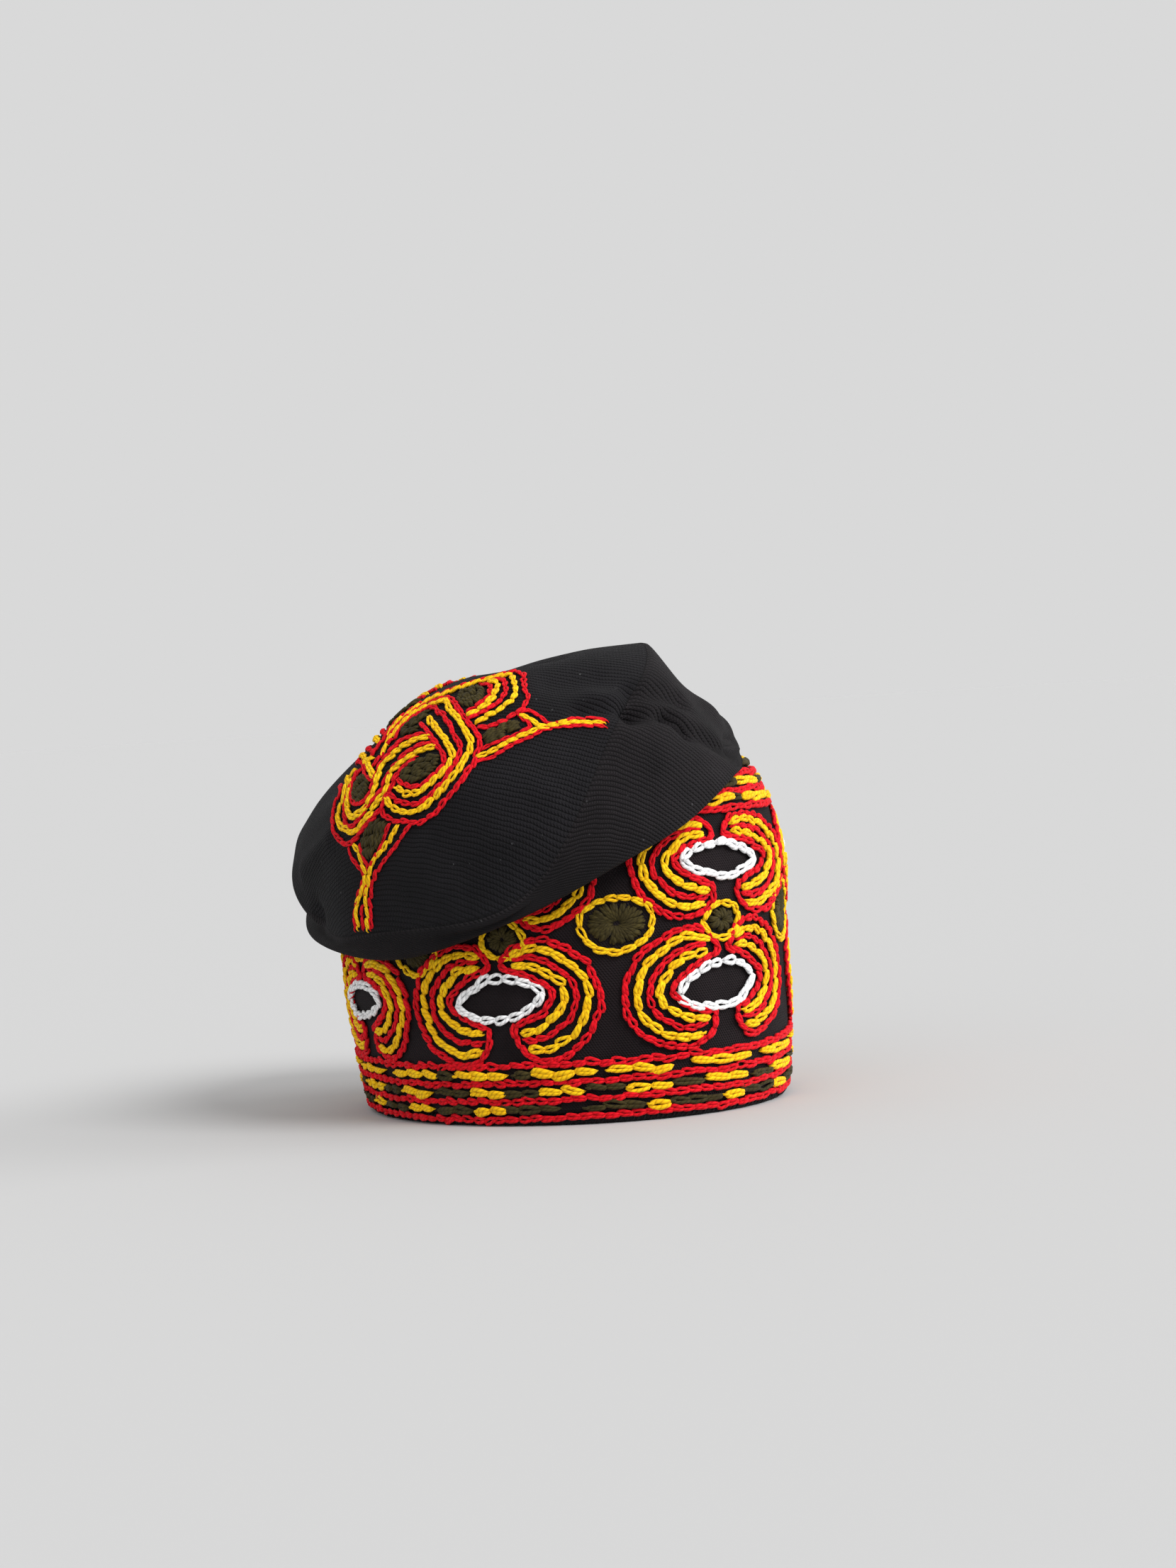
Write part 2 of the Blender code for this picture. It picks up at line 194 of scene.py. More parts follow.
def bend(turns, height):
    """How far the wall is bent inwards at these bearings and heights."""
    rise = np.clip((height - BENT_FROM) / (BAND_HEIGHT - BENT_FROM), 0.0, 1.0)
    aside = (np.degrees(turns) - BENT_TURN + 180.0) % 360.0 - 180.0
    return BENT_DEPTH * rise**2 * np.exp(-((aside / BENT_SPREAD) ** 2))


def wall_place(turns, height):
    """The wall's outside at bearings and heights, before the whole cap is moved over the origin."""
    length, width, right, back = wall_sizes(height)
    bent = bend(turns, height)
    right = right + (width - bent) * np.sin(turns)
    back = back - (length - bent) * np.cos(turns)
    return wearer(right, back, height - bent * BENT_DROP / BENT_DEPTH)


def clear_of_wall(points, clearance, fade):
    """The points, with those below the wall's rim moved out to this far from it, and less over fade."""
    height = np.clip(points[..., 2], 0.0, BAND_HEIGHT)
    length, width, right, back = wall_sizes(height)
    right = -points[..., 0] - right
    back = points[..., 1] - back
    turns = np.arctan2(right / width, -back / length)
    bent = bend(turns, height)
    reach = np.hypot((width - bent) * np.sin(turns), (length - bent) * np.cos(turns)) + clearance
    rim = BAND_HEIGHT - bend(turns, BAND_HEIGHT) * BENT_DROP / BENT_DEPTH
    below = np.clip((rim + fade - points[..., 2]) / (0.7 * fade), 0.0, 1.0)
    away = np.hypot(right, back)
    short = np.maximum(reach - away, 0.0) * below / away
    moved = points.copy()
    moved[..., 0] -= right * short
    moved[..., 1] += back * short
    return moved


def crown_ring(place):
    """The crown's seam or edge, as a point a section."""
    ways = ("right", "back", "height")
    return wearer(*[np.array([getattr(row, f"{place}_{way}") for row in CROWN]) for way in ways])


def rounded(corners, times=4):
    """Lines with their inner corners cut again and again, which makes them smooth."""
    for _ in range(times):
        near = 0.75 * corners[:-1] + 0.25 * corners[1:]
        far = 0.25 * corners[:-1] + 0.75 * corners[1:]
        cut = np.stack([near, far], axis=1).reshape(-1, *corners.shape[1:])
        corners = np.concatenate([corners[:1], cut[1:-1], corners[-1:]])
    return corners


def respaced(lines, rows):
    """Each line again, as this many points that lie evenly along it."""
    return np.stack([evenly(lines[:, column], rows) for column in range(lines.shape[1])], axis=1)


def folded(points):
    """The crown's points, moved by each row of its table of folds."""
    moved = points.copy()
    for fold in FOLDS:
        start = wearer(fold.right, fold.back, fold.height)
        run = wearer(fold.run_right, fold.run_back, fold.run_up)
        length = max(float(run @ run), 1e-12)
        share = np.clip((points - start) @ run / length, 0.0, 1.0)
        away = np.linalg.norm(points - start - share[..., None] * run, axis=-1)
        weight = np.exp(-((away / fold.width) ** 2))
        moved += weight[..., None] * wearer(fold.push_right, fold.push_back, fold.push_up)
    return moved


def top_place(angles, insets):
    """The round top: the film across the seam, puffed up in the middle."""
    puff = wearer(PUFF_RIGHT, PUFF_BACK, PUFF_UP)
    insets = np.broadcast_arrays(angles, insets)[1]
    return film(crown_ring("seam"), angles, insets) + (1.0 - insets[..., None] ** 2) * puff


def side_lines(angles, under_rows, outer_rows):
    """The strip from the wall's top, down to its lowest edge, and up its outside to the seam."""
    sewn = wall_place(np.radians(FIRST_TURN) - angles, BAND_HEIGHT)
    sewn[:, 2] += SEAM_GAP
    edge = film(crown_ring("edge"), angles, 1.0)
    seam = top_place(angles, 1.0)
    bulge = film(np.array([row.bulge for row in CROWN])[:, None], angles, 1.0)
    out = edge - sewn.mean(axis=0)
    out[:, 2] = 0.0
    out = unit(out)
    up = np.array((0.0, 0.0, 1.0))
    onward = unit(seam - top_place(angles, FIRST_INSET))
    hang = np.clip((sewn[:, 2:] - edge[:, 2:]) / HANG_FULL, 0.0, 1.0)
    start = sewn + FIRST_ROW * up
    crest = start + LIFT * (0.3 + 0.7 * hang) * up
    inner = edge + hang * ROLL * (1.4 * up - out)
    corners = np.array(
        [
            start,
            crest,
            crest + hang * LIFT * (0.4 * up + out),
            0.55 * (crest + 1.5 * hang * LIFT * out) + 0.45 * inner,
            inner,
            edge - 0.65 * hang * ROLL * out,
            edge + 0.65 * hang * ROLL * out,
            0.5 * (edge + seam) + bulge * out,
            seam + 0.7 * ROLL * onward,
            seam + FIRST_ROW * onward,
        ]
    )
    lines = rounded(corners)
    lowest = round((len(lines) - 1) * 5.5 / (len(corners) - 1))
    under = respaced(lines[: lowest + 1], under_rows)
    outer = respaced(lines[lowest:], outer_rows)
    end = seam + SEWN_SHARE * SEAM_GAP * onward
    return np.concatenate([sewn[None], under, outer[1:], end[None]])


# Places on the finished cloth

TURNS = np.radians(np.arange(-180.0, 180.5, 0.5))
ROUND = wall_place(TURNS, np.full(len(TURNS), 0.070))
ARCS = lengths(ROUND)
ARCS -= np.interp(0.0, TURNS, ARCS)
GIRTH = ARCS[-1] - ARCS[0]


def on_wall(arcs, heights):
    """Points on the wall's outside, from how far they lie round it, from the front to the wearer's right."""
    arcs = (arcs - ARCS[0]) % GIRTH + ARCS[0]
    return wall_place(np.interp(arcs, ARCS, TURNS), heights) - MIDDLE


TOP_SIZE = 0.106


def on_top(along, across):
    """Points on the round top, from the knot's middle towards the right side seam and towards the front."""
    insets = np.minimum(np.hypot(along, across) / TOP_SIZE, 1.0)
    return folded(top_place(np.arctan2(across, along), insets)) - MIDDLE


def crossing(surface, points):
    """Where points lie on a surface, and a way that is square to it there."""
    first, second = points[:, 0], points[:, 1]
    step = 0.4 * MM
    one = surface(first + step, second) - surface(first - step, second)
    other = surface(first, second + step) - surface(first, second - step)
    return surface(first, second), unit(np.cross(one, other))


# 1 where that way leads off the cloth, as it is at one place on the front and one on the top, and else -1
OUTWARDS = {
    on_wall: np.sign(crossing(on_wall, np.array([[0.0, 0.05]]))[1][0] @ (0.0, -1.0, 0.0)),
    on_top: np.sign(crossing(on_top, np.array([[0.001, 0.001]]))[1][0] @ (0.0, 0.0, 1.0)),
}


def stroke(surface, points):
    """A line drawn on a surface: where it runs, and which way is off the cloth."""
    here, square = crossing(surface, points)
    return here, OUTWARDS[surface] * square


def smooth_line(points, closed=False, parts=10):
    """A smooth line through the points, which runs on to its start where it is closed."""
    points = np.asarray(points, float)
    if closed:
        ring = np.concatenate([points[-1:], points, points[:2]])
    else:
        ring = np.concatenate([2 * points[:1] - points[1:2], points, 2 * points[-1:] - points[-2:-1]])
    t = np.linspace(0.0, 1.0, parts, endpoint=False)[:, None]
    pieces = []
    for a, b, c, d in zip(ring[:-3], ring[1:-2], ring[2:-1], ring[3:]):
        bent = (2 * a - 5 * b + 4 * c - d) * t**2 + (3 * b - a - 3 * c + d) * t**3
        pieces.append(0.5 * (2 * b + (c - a) * t + bent))
    pieces.append(points[:1] if closed else points[-1:])
    return np.concatenate(pieces)


def wavering(points, random, size, wave=14 * MM):
    """The line as a hand draws it, a little off to either side."""
    along = lengths(points)
    total = max(along[-1], 1e-6)
    off = np.zeros_like(points)
    for order in range(1, 4):
        turns = max(1, round(total / wave / 1.6 * order))
        phase = random.uniform(0.0, 2.0 * math.pi, 2)
        off += np.sin(2.0 * math.pi * turns * along[:, None] / total + phase) / order
    return points + size * off / 1.5


def sewn_line(surface, points, random, size, closed=False):
    """A line on the cloth as a hand draws it, through points in millimetres."""
    line = wavering(smooth_line(np.asarray(points, float) * MM, closed), random, size)
    if closed:
        line[-1] = line[0]
    return stroke(surface, line)


# Meshes

def new_piece(name, points, faces, coords=None):
    """A mesh object, with a texture place for each corner of each face where coords are given."""
    mesh = bpy.data.meshes.new(name)
    faces = np.asarray(faces, np.int32)
    sides = faces.shape[1]
    mesh.vertices.add(len(points))
    mesh.vertices.foreach_set("co", np.asarray(points, np.float32).ravel())
    mesh.loops.add(faces.size)
    mesh.loops.foreach_set("vertex_index", faces.ravel())
    mesh.polygons.add(len(faces))
    mesh.polygons.foreach_set("loop_start", np.arange(0, faces.size, sides, dtype=np.int32))
    mesh.polygons.foreach_set("loop_total", np.full(len(faces), sides, np.int32))
    mesh.polygons.foreach_set("use_smooth", np.ones(len(faces), bool))
    if coords is not None:
        layer = mesh.uv_layers.new(name="cloth_mm")
        layer.data.foreach_set("uv", np.asarray(coords, np.float32).ravel())
    mesh.update(calc_edges=True)
    mesh.validate()
    piece = bpy.data.objects.new(name, mesh)
    bpy.context.scene.collection.objects.link(piece)
    return piece


def worn(piece, material, replaced=()):
    """The piece, given its material and set on the cap."""
    piece.data.materials.clear()
    piece.data.materials.append(material)
    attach(piece, "root")
    if replaced:
        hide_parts(*replaced)
    return piece


def ring_faces(rows, columns, spans):
    """Faces over spans of a sheet's rows, whose columns close to a ring, and each corner's row and column."""
    row, column = np.meshgrid(np.arange(spans), np.arange(columns), indexing="ij")
    row, column = row.ravel(), column.ravel()
    rows_of = np.stack([row, row, row + 1, row + 1], axis=1)
    columns_of = np.stack([column, column + 1, column + 1, column], axis=1)
    return rows_of % rows * columns + columns_of % columns, rows_of, columns_of


def thickened(piece, thickness):
    """The open sheet made into cloth of this thickness, all of it on the inside."""
    solidify = piece.modifiers.new("thickness", "SOLIDIFY")
    solidify.thickness = thickness
    solidify.offset = -1.0
    graph = bpy.context.evaluated_depsgraph_get()
    mesh = bpy.data.meshes.new_from_object(piece.evaluated_get(graph))
    piece.modifiers.clear()
    old = piece.data
    piece.data = mesh
    bpy.data.meshes.remove(old)
    return piece


def ring_sheet(name, rings, thickness, around, along):
    """Cloth from rings of points. around and along are where its columns and rows are on its texture."""
    rows, columns = rings.shape[:2]
    faces, rows_of, columns_of = ring_faces(rows, columns, rows - 1)
    coords = np.stack([around[columns_of], along[rows_of]], axis=-1)
    return thickened(new_piece(name, rings.reshape(-1, 3), faces, coords.reshape(-1, 2)), thickness)


# The yarn

# One loop of chain stitch: how far on, how far aside and how high its yarn passes, in shares of the loop's
# length, its half width and the yarn's thickness
Turn = namedtuple("Turn", "on aside high")
LOOP = (
    Turn(-0.04, 0.00, -0.10),
    Turn(0.14, 0.40, 0.95),
    Turn(0.42, 0.80, 0.86),
    Turn(0.74, 1.02, 0.64),
    Turn(0.99, 0.74, 0.42),
    Turn(1.11, 0.00, 0.35),
)
LOOP_TURNS = LOOP + tuple(Turn(turn.on, -turn.aside, turn.high) for turn in LOOP[-2:0:-1])
YARN_SIDES = 6

# A loop's length and width in each kind of line, and how much of the width the yarn takes
Stitch = namedtuple("Stitch", "length width yarn")
LOBE_EDGE = Stitch(4.8 * MM, 3.2 * MM, 0.48)
LOBE_RED = Stitch(5.0 * MM, 2.9 * MM, 0.48)
LOBE_YELLOW = Stitch(6.0 * MM, 3.7 * MM, 0.48)
EYE_EDGE = Stitch(6.0 * MM, 4.1 * MM, 0.45)
SPOT_EDGE = Stitch(5.4 * MM, 3.1 * MM, 0.48)
BORDER_LINE = Stitch(5.2 * MM, 3.3 * MM, 0.48)
YELLOW_DASH = Stitch(8.2 * MM, 4.2 * MM, 0.48)
OLIVE_DASH = Stitch(8.2 * MM, 3.9 * MM, 0.48)
KNOT_RED = Stitch(4.2 * MM, 2.5 * MM, 0.48)
KNOT_YELLOW = Stitch(4.6 * MM, 3.1 * MM, 0.48)
FILLING = 1.7 * MM


class Thread:
    """All the stitches made in one colour on one part of the cap."""

    def __init__(self, seed):
        self.random = np.random.default_rng(seed)
        self.points = []
        self.faces = []
        self.coords = []
        self.count = 0

    def add(self, points, faces, coords):
        self.points.append(points.reshape(-1, 3))
        self.faces.append(faces + self.count)
        self.coords.append(coords.reshape(-1, 2))
        self.count += points.size // 3

    def piece(self, name, material, slot=None):
        points = np.concatenate(self.points)
        faces = np.concatenate(self.faces)
        made = new_piece(name, points, faces, np.concatenate(self.coords))
        return worn(made, material)

    def chain(self, line, stitch, closed=False, swell=None, thin=1.0):
        """Chain stitch along a line of points and normals. swell gives its width at a share of the way."""
        points, normals = line
        width = thin * stitch.width
        yarn = stitch.yarn * width
        along = lengths(points)
        total = along[-1]
        if total < 0.8 * stitch.length:
            return
        loops = max(1, round(total / stitch.length))
        length = total / loops
        on, side, high = np.array(LOOP_TURNS).T
        random = self.random
        starts = np.arange(loops) * length + random.normal(0.0, 0.05 * length, loops)
        longer = random.normal(1.0, 0.06, loops)
        wider = np.clip(random.normal(1.0, 0.10, loops), 0.75, 1.3)
        if swell is not None:
            wider *= swell((np.arange(loops) + 0.5) / loops)
        aside = random.normal(0.0, 0.09 * MM, loops)
        lean = random.normal(0.0, 0.10, loops)
        thick = yarn * np.clip(random.normal(1.0, 0.07, loops), 0.8, 1.2)[:, None]
        at = starts[:, None] + on * (length * longer)[:, None]
        if closed:
            at = at % total
        tangents = unit(np.gradient(points, axis=0))
        pick = lambda values: np.stack([np.interp(at, along, values[:, axis]) for axis in range(3)], axis=-1)
        forward = unit(pick(tangents))
        off = unit(pick(normals))
        over = np.clip(at, 0.0, total) - at
        middle = pick(points) - forward * over[..., None]
        sway = 0.5 * (width * wider[:, None] - thick) * side + (aside[:, None] + lean[:, None] * on * length)
        centre = middle + np.cross(off, forward) * sway[..., None] + off * (high * thick)[..., None]
        self.tube(centre, off, 0.5 * thick, closed=True)
        if not closed:
            last = points[-1] - tangents[-1] * 0.25 * length
            reach = tangents[-1] * random.uniform(1.6, 2.6) * MM
            self.strands(last[None], (points[-1] + reach)[None], normals[-1:], 0.62 * yarn, 0.9 * yarn)

    def tube(self, centre, off, radius, closed):
        """Yarn round lines of centres. centre is lines by places by 3, and radius is lines by places."""
        lines, places = centre.shape[:2]
        radius = np.broadcast_to(radius, (lines, places))
        if closed:
            run = np.roll(centre, -1, axis=1) - np.roll(centre, 1, axis=1)
        else:
            run = np.gradient(centre, axis=1)
        run = unit(run)
        side = unit(np.cross(off, run))
        top = np.cross(run, side)
        turn = np.linspace(0.0, 2.0 * math.pi, YARN_SIDES, endpoint=False) + 0.3
        ring = np.cos(turn)[:, None] * side[..., None, :] + 0.92 * np.sin(turn)[:, None] * top[..., None, :]
        points = centre[..., None, :] + radius[..., None, None] * ring
        faces, places_of, sides_of = ring_faces(places, YARN_SIDES, places if closed else places - 1)
        faces = faces + np.arange(lines)[:, None, None] * places * YARN_SIDES
        step = np.linalg.norm(np.diff(np.concatenate([centre, centre[:, :1]], axis=1), axis=1), axis=-1)
        gone = np.concatenate([np.zeros((lines, 1)), np.cumsum(step, axis=1)], axis=1) / MM
        gone = (gone + (np.arange(lines) * 3.7 % 50.0)[:, None])[:, places_of]
        coords = np.stack([gone, np.broadcast_to(sides_of / YARN_SIDES, gone.shape)], axis=-1)
        self.add(points, faces.reshape(-1, 4), coords)

    def strands(self, starts, ends, off, yarn, high):
        """Straight stitches that lie over the cloth, thin where they go into it."""
        share = np.array([0.0, 0.12, 0.35, 0.65, 0.88, 1.0])
        rise = np.array([-0.5, 0.35, 1.0, 1.0, 0.35, -0.5])
        size = np.array([0.15, 0.75, 1.0, 1.0, 0.75, 0.15])
        centre = starts[:, None] + (ends - starts)[:, None] * share[None, :, None]
        centre = centre + off[:, None] * (rise * high)[None, :, None]
        self.tube(centre, np.broadcast_to(off[:, None], centre.shape), 0.5 * yarn * size[None], closed=False)


# Materials

class Workings:
    """The nodes of one material or group, written as sums."""

    def __init__(self, tree):
        self.tree = tree

    def node(self, kind, **settings):
        made = self.tree.nodes.new(kind)
        for name, value in settings.items():
            setattr(made, name, value)
        return made

    def feed(self, socket, value):
        if isinstance(value, bpy.types.NodeSocket):
            self.tree.links.new(value, socket)
        else:
            socket.default_value = value

    def sum(self, operation, *values):
        made = self.node("ShaderNodeMath", operation=operation)
        for socket, value in zip(made.inputs, values):
            self.feed(socket, value)
        return made.outputs[0]

    def noise(self, vector, scale, detail=3.0, roughness=0.55):
        made = self.node("ShaderNodeTexNoise")
        self.feed(made.inputs["Vector"], vector)
        made.inputs["Scale"].default_value = scale
        made.inputs["Detail"].default_value = detail
        made.inputs["Roughness"].default_value = roughness
        return made.outputs["Fac"]

    def between(self, value, low, high, to_low=0.0, to_high=1.0):
        made = self.node("ShaderNodeMapRange")
        for socket, entry in zip(made.inputs, (value, low, high, to_low, to_high)):
            self.feed(socket, entry)
        return made.outputs[0]

    def mix(self, share, first, second):
        made = self.node("ShaderNodeMix", data_type="RGBA")
        self.feed(made.inputs["Factor"], share)
        colours = [socket for socket in made.inputs if socket.type == "RGBA"]
        self.feed(colours[0], first)
        self.feed(colours[1], second)
        return next(socket for socket in made.outputs if socket.type == "RGBA")


def new_group(name, values, results):
    """A shader group with named inputs and outputs. An input without a value takes a place."""
    tree = bpy.data.node_groups.new(name, "ShaderNodeTree")
    for label, value in values.items():
        kind = "NodeSocketVector" if value is None else "NodeSocketFloat"
        socket = tree.interface.new_socket(name=label, in_out="INPUT", socket_type=kind)
        if value is not None:
            socket.default_value = value
    for label in results:
        tree.interface.new_socket(name=label, in_out="OUTPUT", socket_type="NodeSocketFloat")
    work = Workings(tree)
    return tree, work, work.node("NodeGroupInput").outputs, work.node("NodeGroupOutput").inputs


def knit_group():
    """Wales of knitting with their stitches. Places come in millimetres."""
    values = {"Place": None, "Wale": 2.1, "Course": 1.5, "Slant": 0.0}
    tree, work, given, out = new_group("knit", values, ("Height", "GrooveShade"))
    parts = work.node("ShaderNodeSeparateXYZ")
    work.feed(parts.inputs[0], given["Place"])
    x, y = parts.outputs[0], parts.outputs[1]
    wander = work.sum("MULTIPLY", work.sum("SUBTRACT", work.noise(given["Place"], 0.06, 2.0), 0.5), 3.0)
    slid = work.sum("ADD", work.sum("ADD", x, work.sum("MULTIPLY", y, given["Slant"])), wander)
    wale = work.sum("DIVIDE", slid, given["Wale"])
    inside = work.sum("SUBTRACT", work.sum("FRACT", wale), 0.5)
    across = work.sum("MULTIPLY", work.sum("ABSOLUTE", inside), 2.0)
    fallen = work.sum("SUBTRACT", 1.0, work.sum("MULTIPLY", across, across))
    rib = work.sum("SQRT", work.sum("MAXIMUM", fallen, 0.0))
    course = work.sum("SUBTRACT", work.sum("DIVIDE", y, given["Course"]), work.sum("MULTIPLY", across, 0.45))
    beat = work.sum("SINE", work.sum("MULTIPLY", course, 2.0 * math.pi))
    loop = work.between(beat, -1.0, 1.0, 0.62, 1.0)
    height = work.sum("MULTIPLY", rib, loop)
    work.feed(out["Height"], height)
    # GrooveShade: where the knit lies low, for painted shade in its grooves.
    work.feed(out["GrooveShade"], work.between(height, 0.15, 0.7, 1.0, 0.0))
    return tree


def twist_group():
    """The twist and the loose fibres of wool yarn. Places run along it in millimetres and once round it."""
    tree, work, given, out = new_group("twist", {"Place": None, "Pitch": 2.4}, ("Height", "Shade"))
    parts = work.node("ShaderNodeSeparateXYZ")
    work.feed(parts.inputs[0], given["Place"])
    along, round_it = parts.outputs[0], parts.outputs[1]
    phase = work.sum("ADD", work.sum("DIVIDE", along, given["Pitch"]), work.sum("MULTIPLY", round_it, 2.0))
    ply = work.sum("ABSOLUTE", work.sum("SINE", work.sum("MULTIPLY", phase, math.pi)))
    stretched = work.node("ShaderNodeCombineXYZ")
    work.feed(stretched.inputs[0], work.sum("MULTIPLY", along, 0.5))
    work.feed(stretched.inputs[1], work.sum("MULTIPLY", round_it, 14.0))
    fibre = work.noise(stretched.outputs[0], 1.6, 4.0, 0.65)
    height = work.sum("ADD", work.sum("MULTIPLY", ply, 0.7), work.sum("MULTIPLY", fibre, 0.6))
    work.feed(out["Height"], height)
    # Shade is low between the plies, for painted shade there, and varied by the fibres' own uneven tone.
    work.feed(out["Shade"], work.between(work.sum("ADD", ply, fibre), 0.3, 1.3))
    return tree


def lint_group():
    """Pale specks of dust and fibre caught on dark cloth."""
    tree, work, given, out = new_group("lint", {"Scale": 260.0}, ("Mask",))
    place = work.node("ShaderNodeTexCoord").outputs["Object"]
    cells = work.node("ShaderNodeTexVoronoi")
    work.feed(cells.inputs["Vector"], place)
    work.feed(cells.inputs["Scale"], given["Scale"])
    near = work.between(cells.outputs["Distance"], 0.05, 0.16, 1.0, 0.0)
    chosen = work.sum("GREATER_THAN", work.noise(place, 190.0, 1.0), 0.66)
    work.feed(out["Mask"], work.sum("MULTIPLY", near, chosen))
    return tree


KNIT = knit_group()
TWIST = twist_group()
LINT = lint_group()


def new_material(name, roughness, sheen, sheen_roughness=0.5, specular=0.1):
    material = bpy.data.materials.new(name)
    material.use_nodes = True
    shader = material.node_tree.nodes["Principled BSDF"]
    shader.inputs["Roughness"].default_value = roughness
    shader.inputs["Specular IOR Level"].default_value = specular
    shader.inputs["Sheen Weight"].default_value = sheen
    shader.inputs["Sheen Roughness"].default_value = sheen_roughness
    return material, shader, Workings(material.node_tree)


def placed_group(work, tree, **values):
    group = work.node("ShaderNodeGroup", node_tree=tree)
    for name, value in values.items():
        work.feed(group.inputs[name], value)
    return group


def finished(work, shader, colour, height, depth):
    """The material's colour, and its relief from a height this deep."""
    work.feed(shader.inputs["Base Color"], colour)
    bump = work.node("ShaderNodeBump")
    bump.inputs["Strength"].default_value = 1.0
    bump.inputs["Distance"].default_value = depth
    work.feed(bump.inputs["Height"], height)
    work.feed(shader.inputs["Normal"], bump.outputs[0])


def cloth_material(name, low, high, wale, course, slant, depth):
    """Black knit: painted shade in its grooves, paler stitches, uneven dye and a little lint."""
    material, shader, work = new_material(name, 0.8, 0.015, 0.4, 0.12)
    place = work.node("ShaderNodeUVMap", uv_map="cloth_mm").outputs[0]
    knit = placed_group(work, KNIT, Place=place, Wale=wale, Course=course, Slant=slant)
    lint = placed_group(work, LINT)
    body = work.node("ShaderNodeTexCoord").outputs["Object"]
    cloudy = work.noise(body, 38.0, 3.0)
    fuzz = work.noise(body, 2600.0, 2.0)
    pale = work.mix(work.between(cloudy, 0.3, 0.7), (*low, 1.0), (*high, 1.0))
    # Painted shade: the knit's grooves darkened to a little of the cloth's colour.
    dark = (*(0.12 * part for part in low), 1.0)
    shaded_in_grooves = work.mix(work.sum("MULTIPLY", knit.outputs["GrooveShade"], 0.85), pale, dark)
    specked = work.mix(work.sum("MULTIPLY", lint.outputs["Mask"], 0.25), shaded_in_grooves, (0.22, 0.22, 0.23, 1.0))
    height = work.sum("ADD", knit.outputs["Height"], work.sum("MULTIPLY", fuzz, 0.35))
    finished(work, shader, specked, height, depth)
    return material


def yarn_material(name, colour, shaded, sheen=0.05):
    """Wool yarn: its dye uneven between stitches, and darker between its plies as painted shade."""
    material, shader, work = new_material(name, 0.75, sheen, 0.4, 0.12)
    place = work.node("ShaderNodeUVMap", uv_map="cloth_mm").outputs[0]
    twist = placed_group(work, TWIST, Place=place)
    body = work.node("ShaderNodeTexCoord").outputs["Object"]
    uneven = work.noise(body, 120.0, 2.0)
    dyed = work.mix(work.between(uneven, 0.3, 0.7), (*shaded, 1.0), (*colour, 1.0))
    # Painted shade between the plies: the darker tone darkened further.
    deep = (*(0.55 * part for part in shaded), 1.0)
    ply = work.mix(twist.outputs["Shade"], deep, dyed)
    finished(work, shader, ply, twist.outputs["Height"], 0.16 * MM)
    return material


# One black knit in two copies: the strip's is painted lighter, as painted light from the right, and the top's
# darker, as painted shade.
CROWN_TOP_KNIT_PAINTED_DARKER = cloth_material(
    "crown_top_knit", (0.0062, 0.0057, 0.0070), (0.0120, 0.0110, 0.0132), 2.1, 1.5, 0.0, 1.0 * MM
)
CROWN_SIDE_KNIT_PAINTED_LIGHTER = cloth_material(
    "crown_side_knit", (0.0075, 0.0064, 0.0074), (0.0165, 0.0138, 0.0155), 2.1, 1.5, 0.45, 1.0 * MM
)
WALL_KNIT = cloth_material(
    "wall_knit", (0.0085, 0.0056, 0.0066), (0.0160, 0.0108, 0.0126), 1.3, 1.0, 0.7, 0.5 * MM
)
HEM_YARN = yarn_material("hem_yarn", (0.016, 0.014, 0.016), (0.009, 0.008, 0.009), sheen=0.02)
RED = yarn_material("red_wool", (0.80, 0.005, 0.016), (0.60, 0.003, 0.010))
YELLOW = yarn_material("yellow_wool", (0.97, 0.62, 0.008), (0.88, 0.48, 0.004))
OLIVE = yarn_material("olive_wool", (0.060, 0.046, 0.012), (0.034, 0.026, 0.008))
WHITE = yarn_material("white_wool", (0.95, 0.95, 0.95), (0.86, 0.86, 0.87))


# The cloth

# How long the cloth is round the cap for its knit, in millimetres
CLOTH_ROUND = 600.0

angles = np.linspace(0.0, 2.0 * math.pi, COLUMNS, endpoint=False)
turns = np.radians(FIRST_TURN) - angles
around = np.linspace(0.0, CLOTH_ROUND, COLUMNS + 1)

band_heights = np.linspace(HEM_HEIGHT + SEAM_GAP, BAND_HEIGHT, BAND_ROWS)
band_rows = wall_place(turns[None, :], band_heights[:, None]) - MIDDLE
band = ring_sheet("wall_cloth", band_rows, BAND_CLOTH, around, band_heights / MM)
worn(band, WALL_KNIT, replaced=["band"])

side_rows = side_lines(angles, UNDER_ROWS, OUTER_ROWS)
# The folds fade out towards the strip's sewn edge.
loose = np.clip(np.arange(len(side_rows)) / UNDER_ROWS, 0.0, 1.0)[:, None, None]
side_rows += loose * (folded(side_rows) - side_rows)
past = np.clip((np.arange(len(side_rows) - 2) - 0.4 * UNDER_ROWS) / (0.6 * UNDER_ROWS), 0.0, 1.0)[:, None]
side_rows[2:] = clear_of_wall(side_rows[2:], CLEARANCE + 2.5 * CROWN_CLOTH * past, FADE + FADE * past)
side_steps = np.linalg.norm(np.diff(side_rows, axis=0), axis=-1).mean(axis=1)
side_along = np.concatenate([[0.0], np.cumsum(side_steps)]) / MM
side = ring_sheet("crown_side_knit", side_rows - MIDDLE, CROWN_CLOTH, around, side_along)
worn(side, CROWN_SIDE_KNIT_PAINTED_LIGHTER, replaced=["crown_side"])


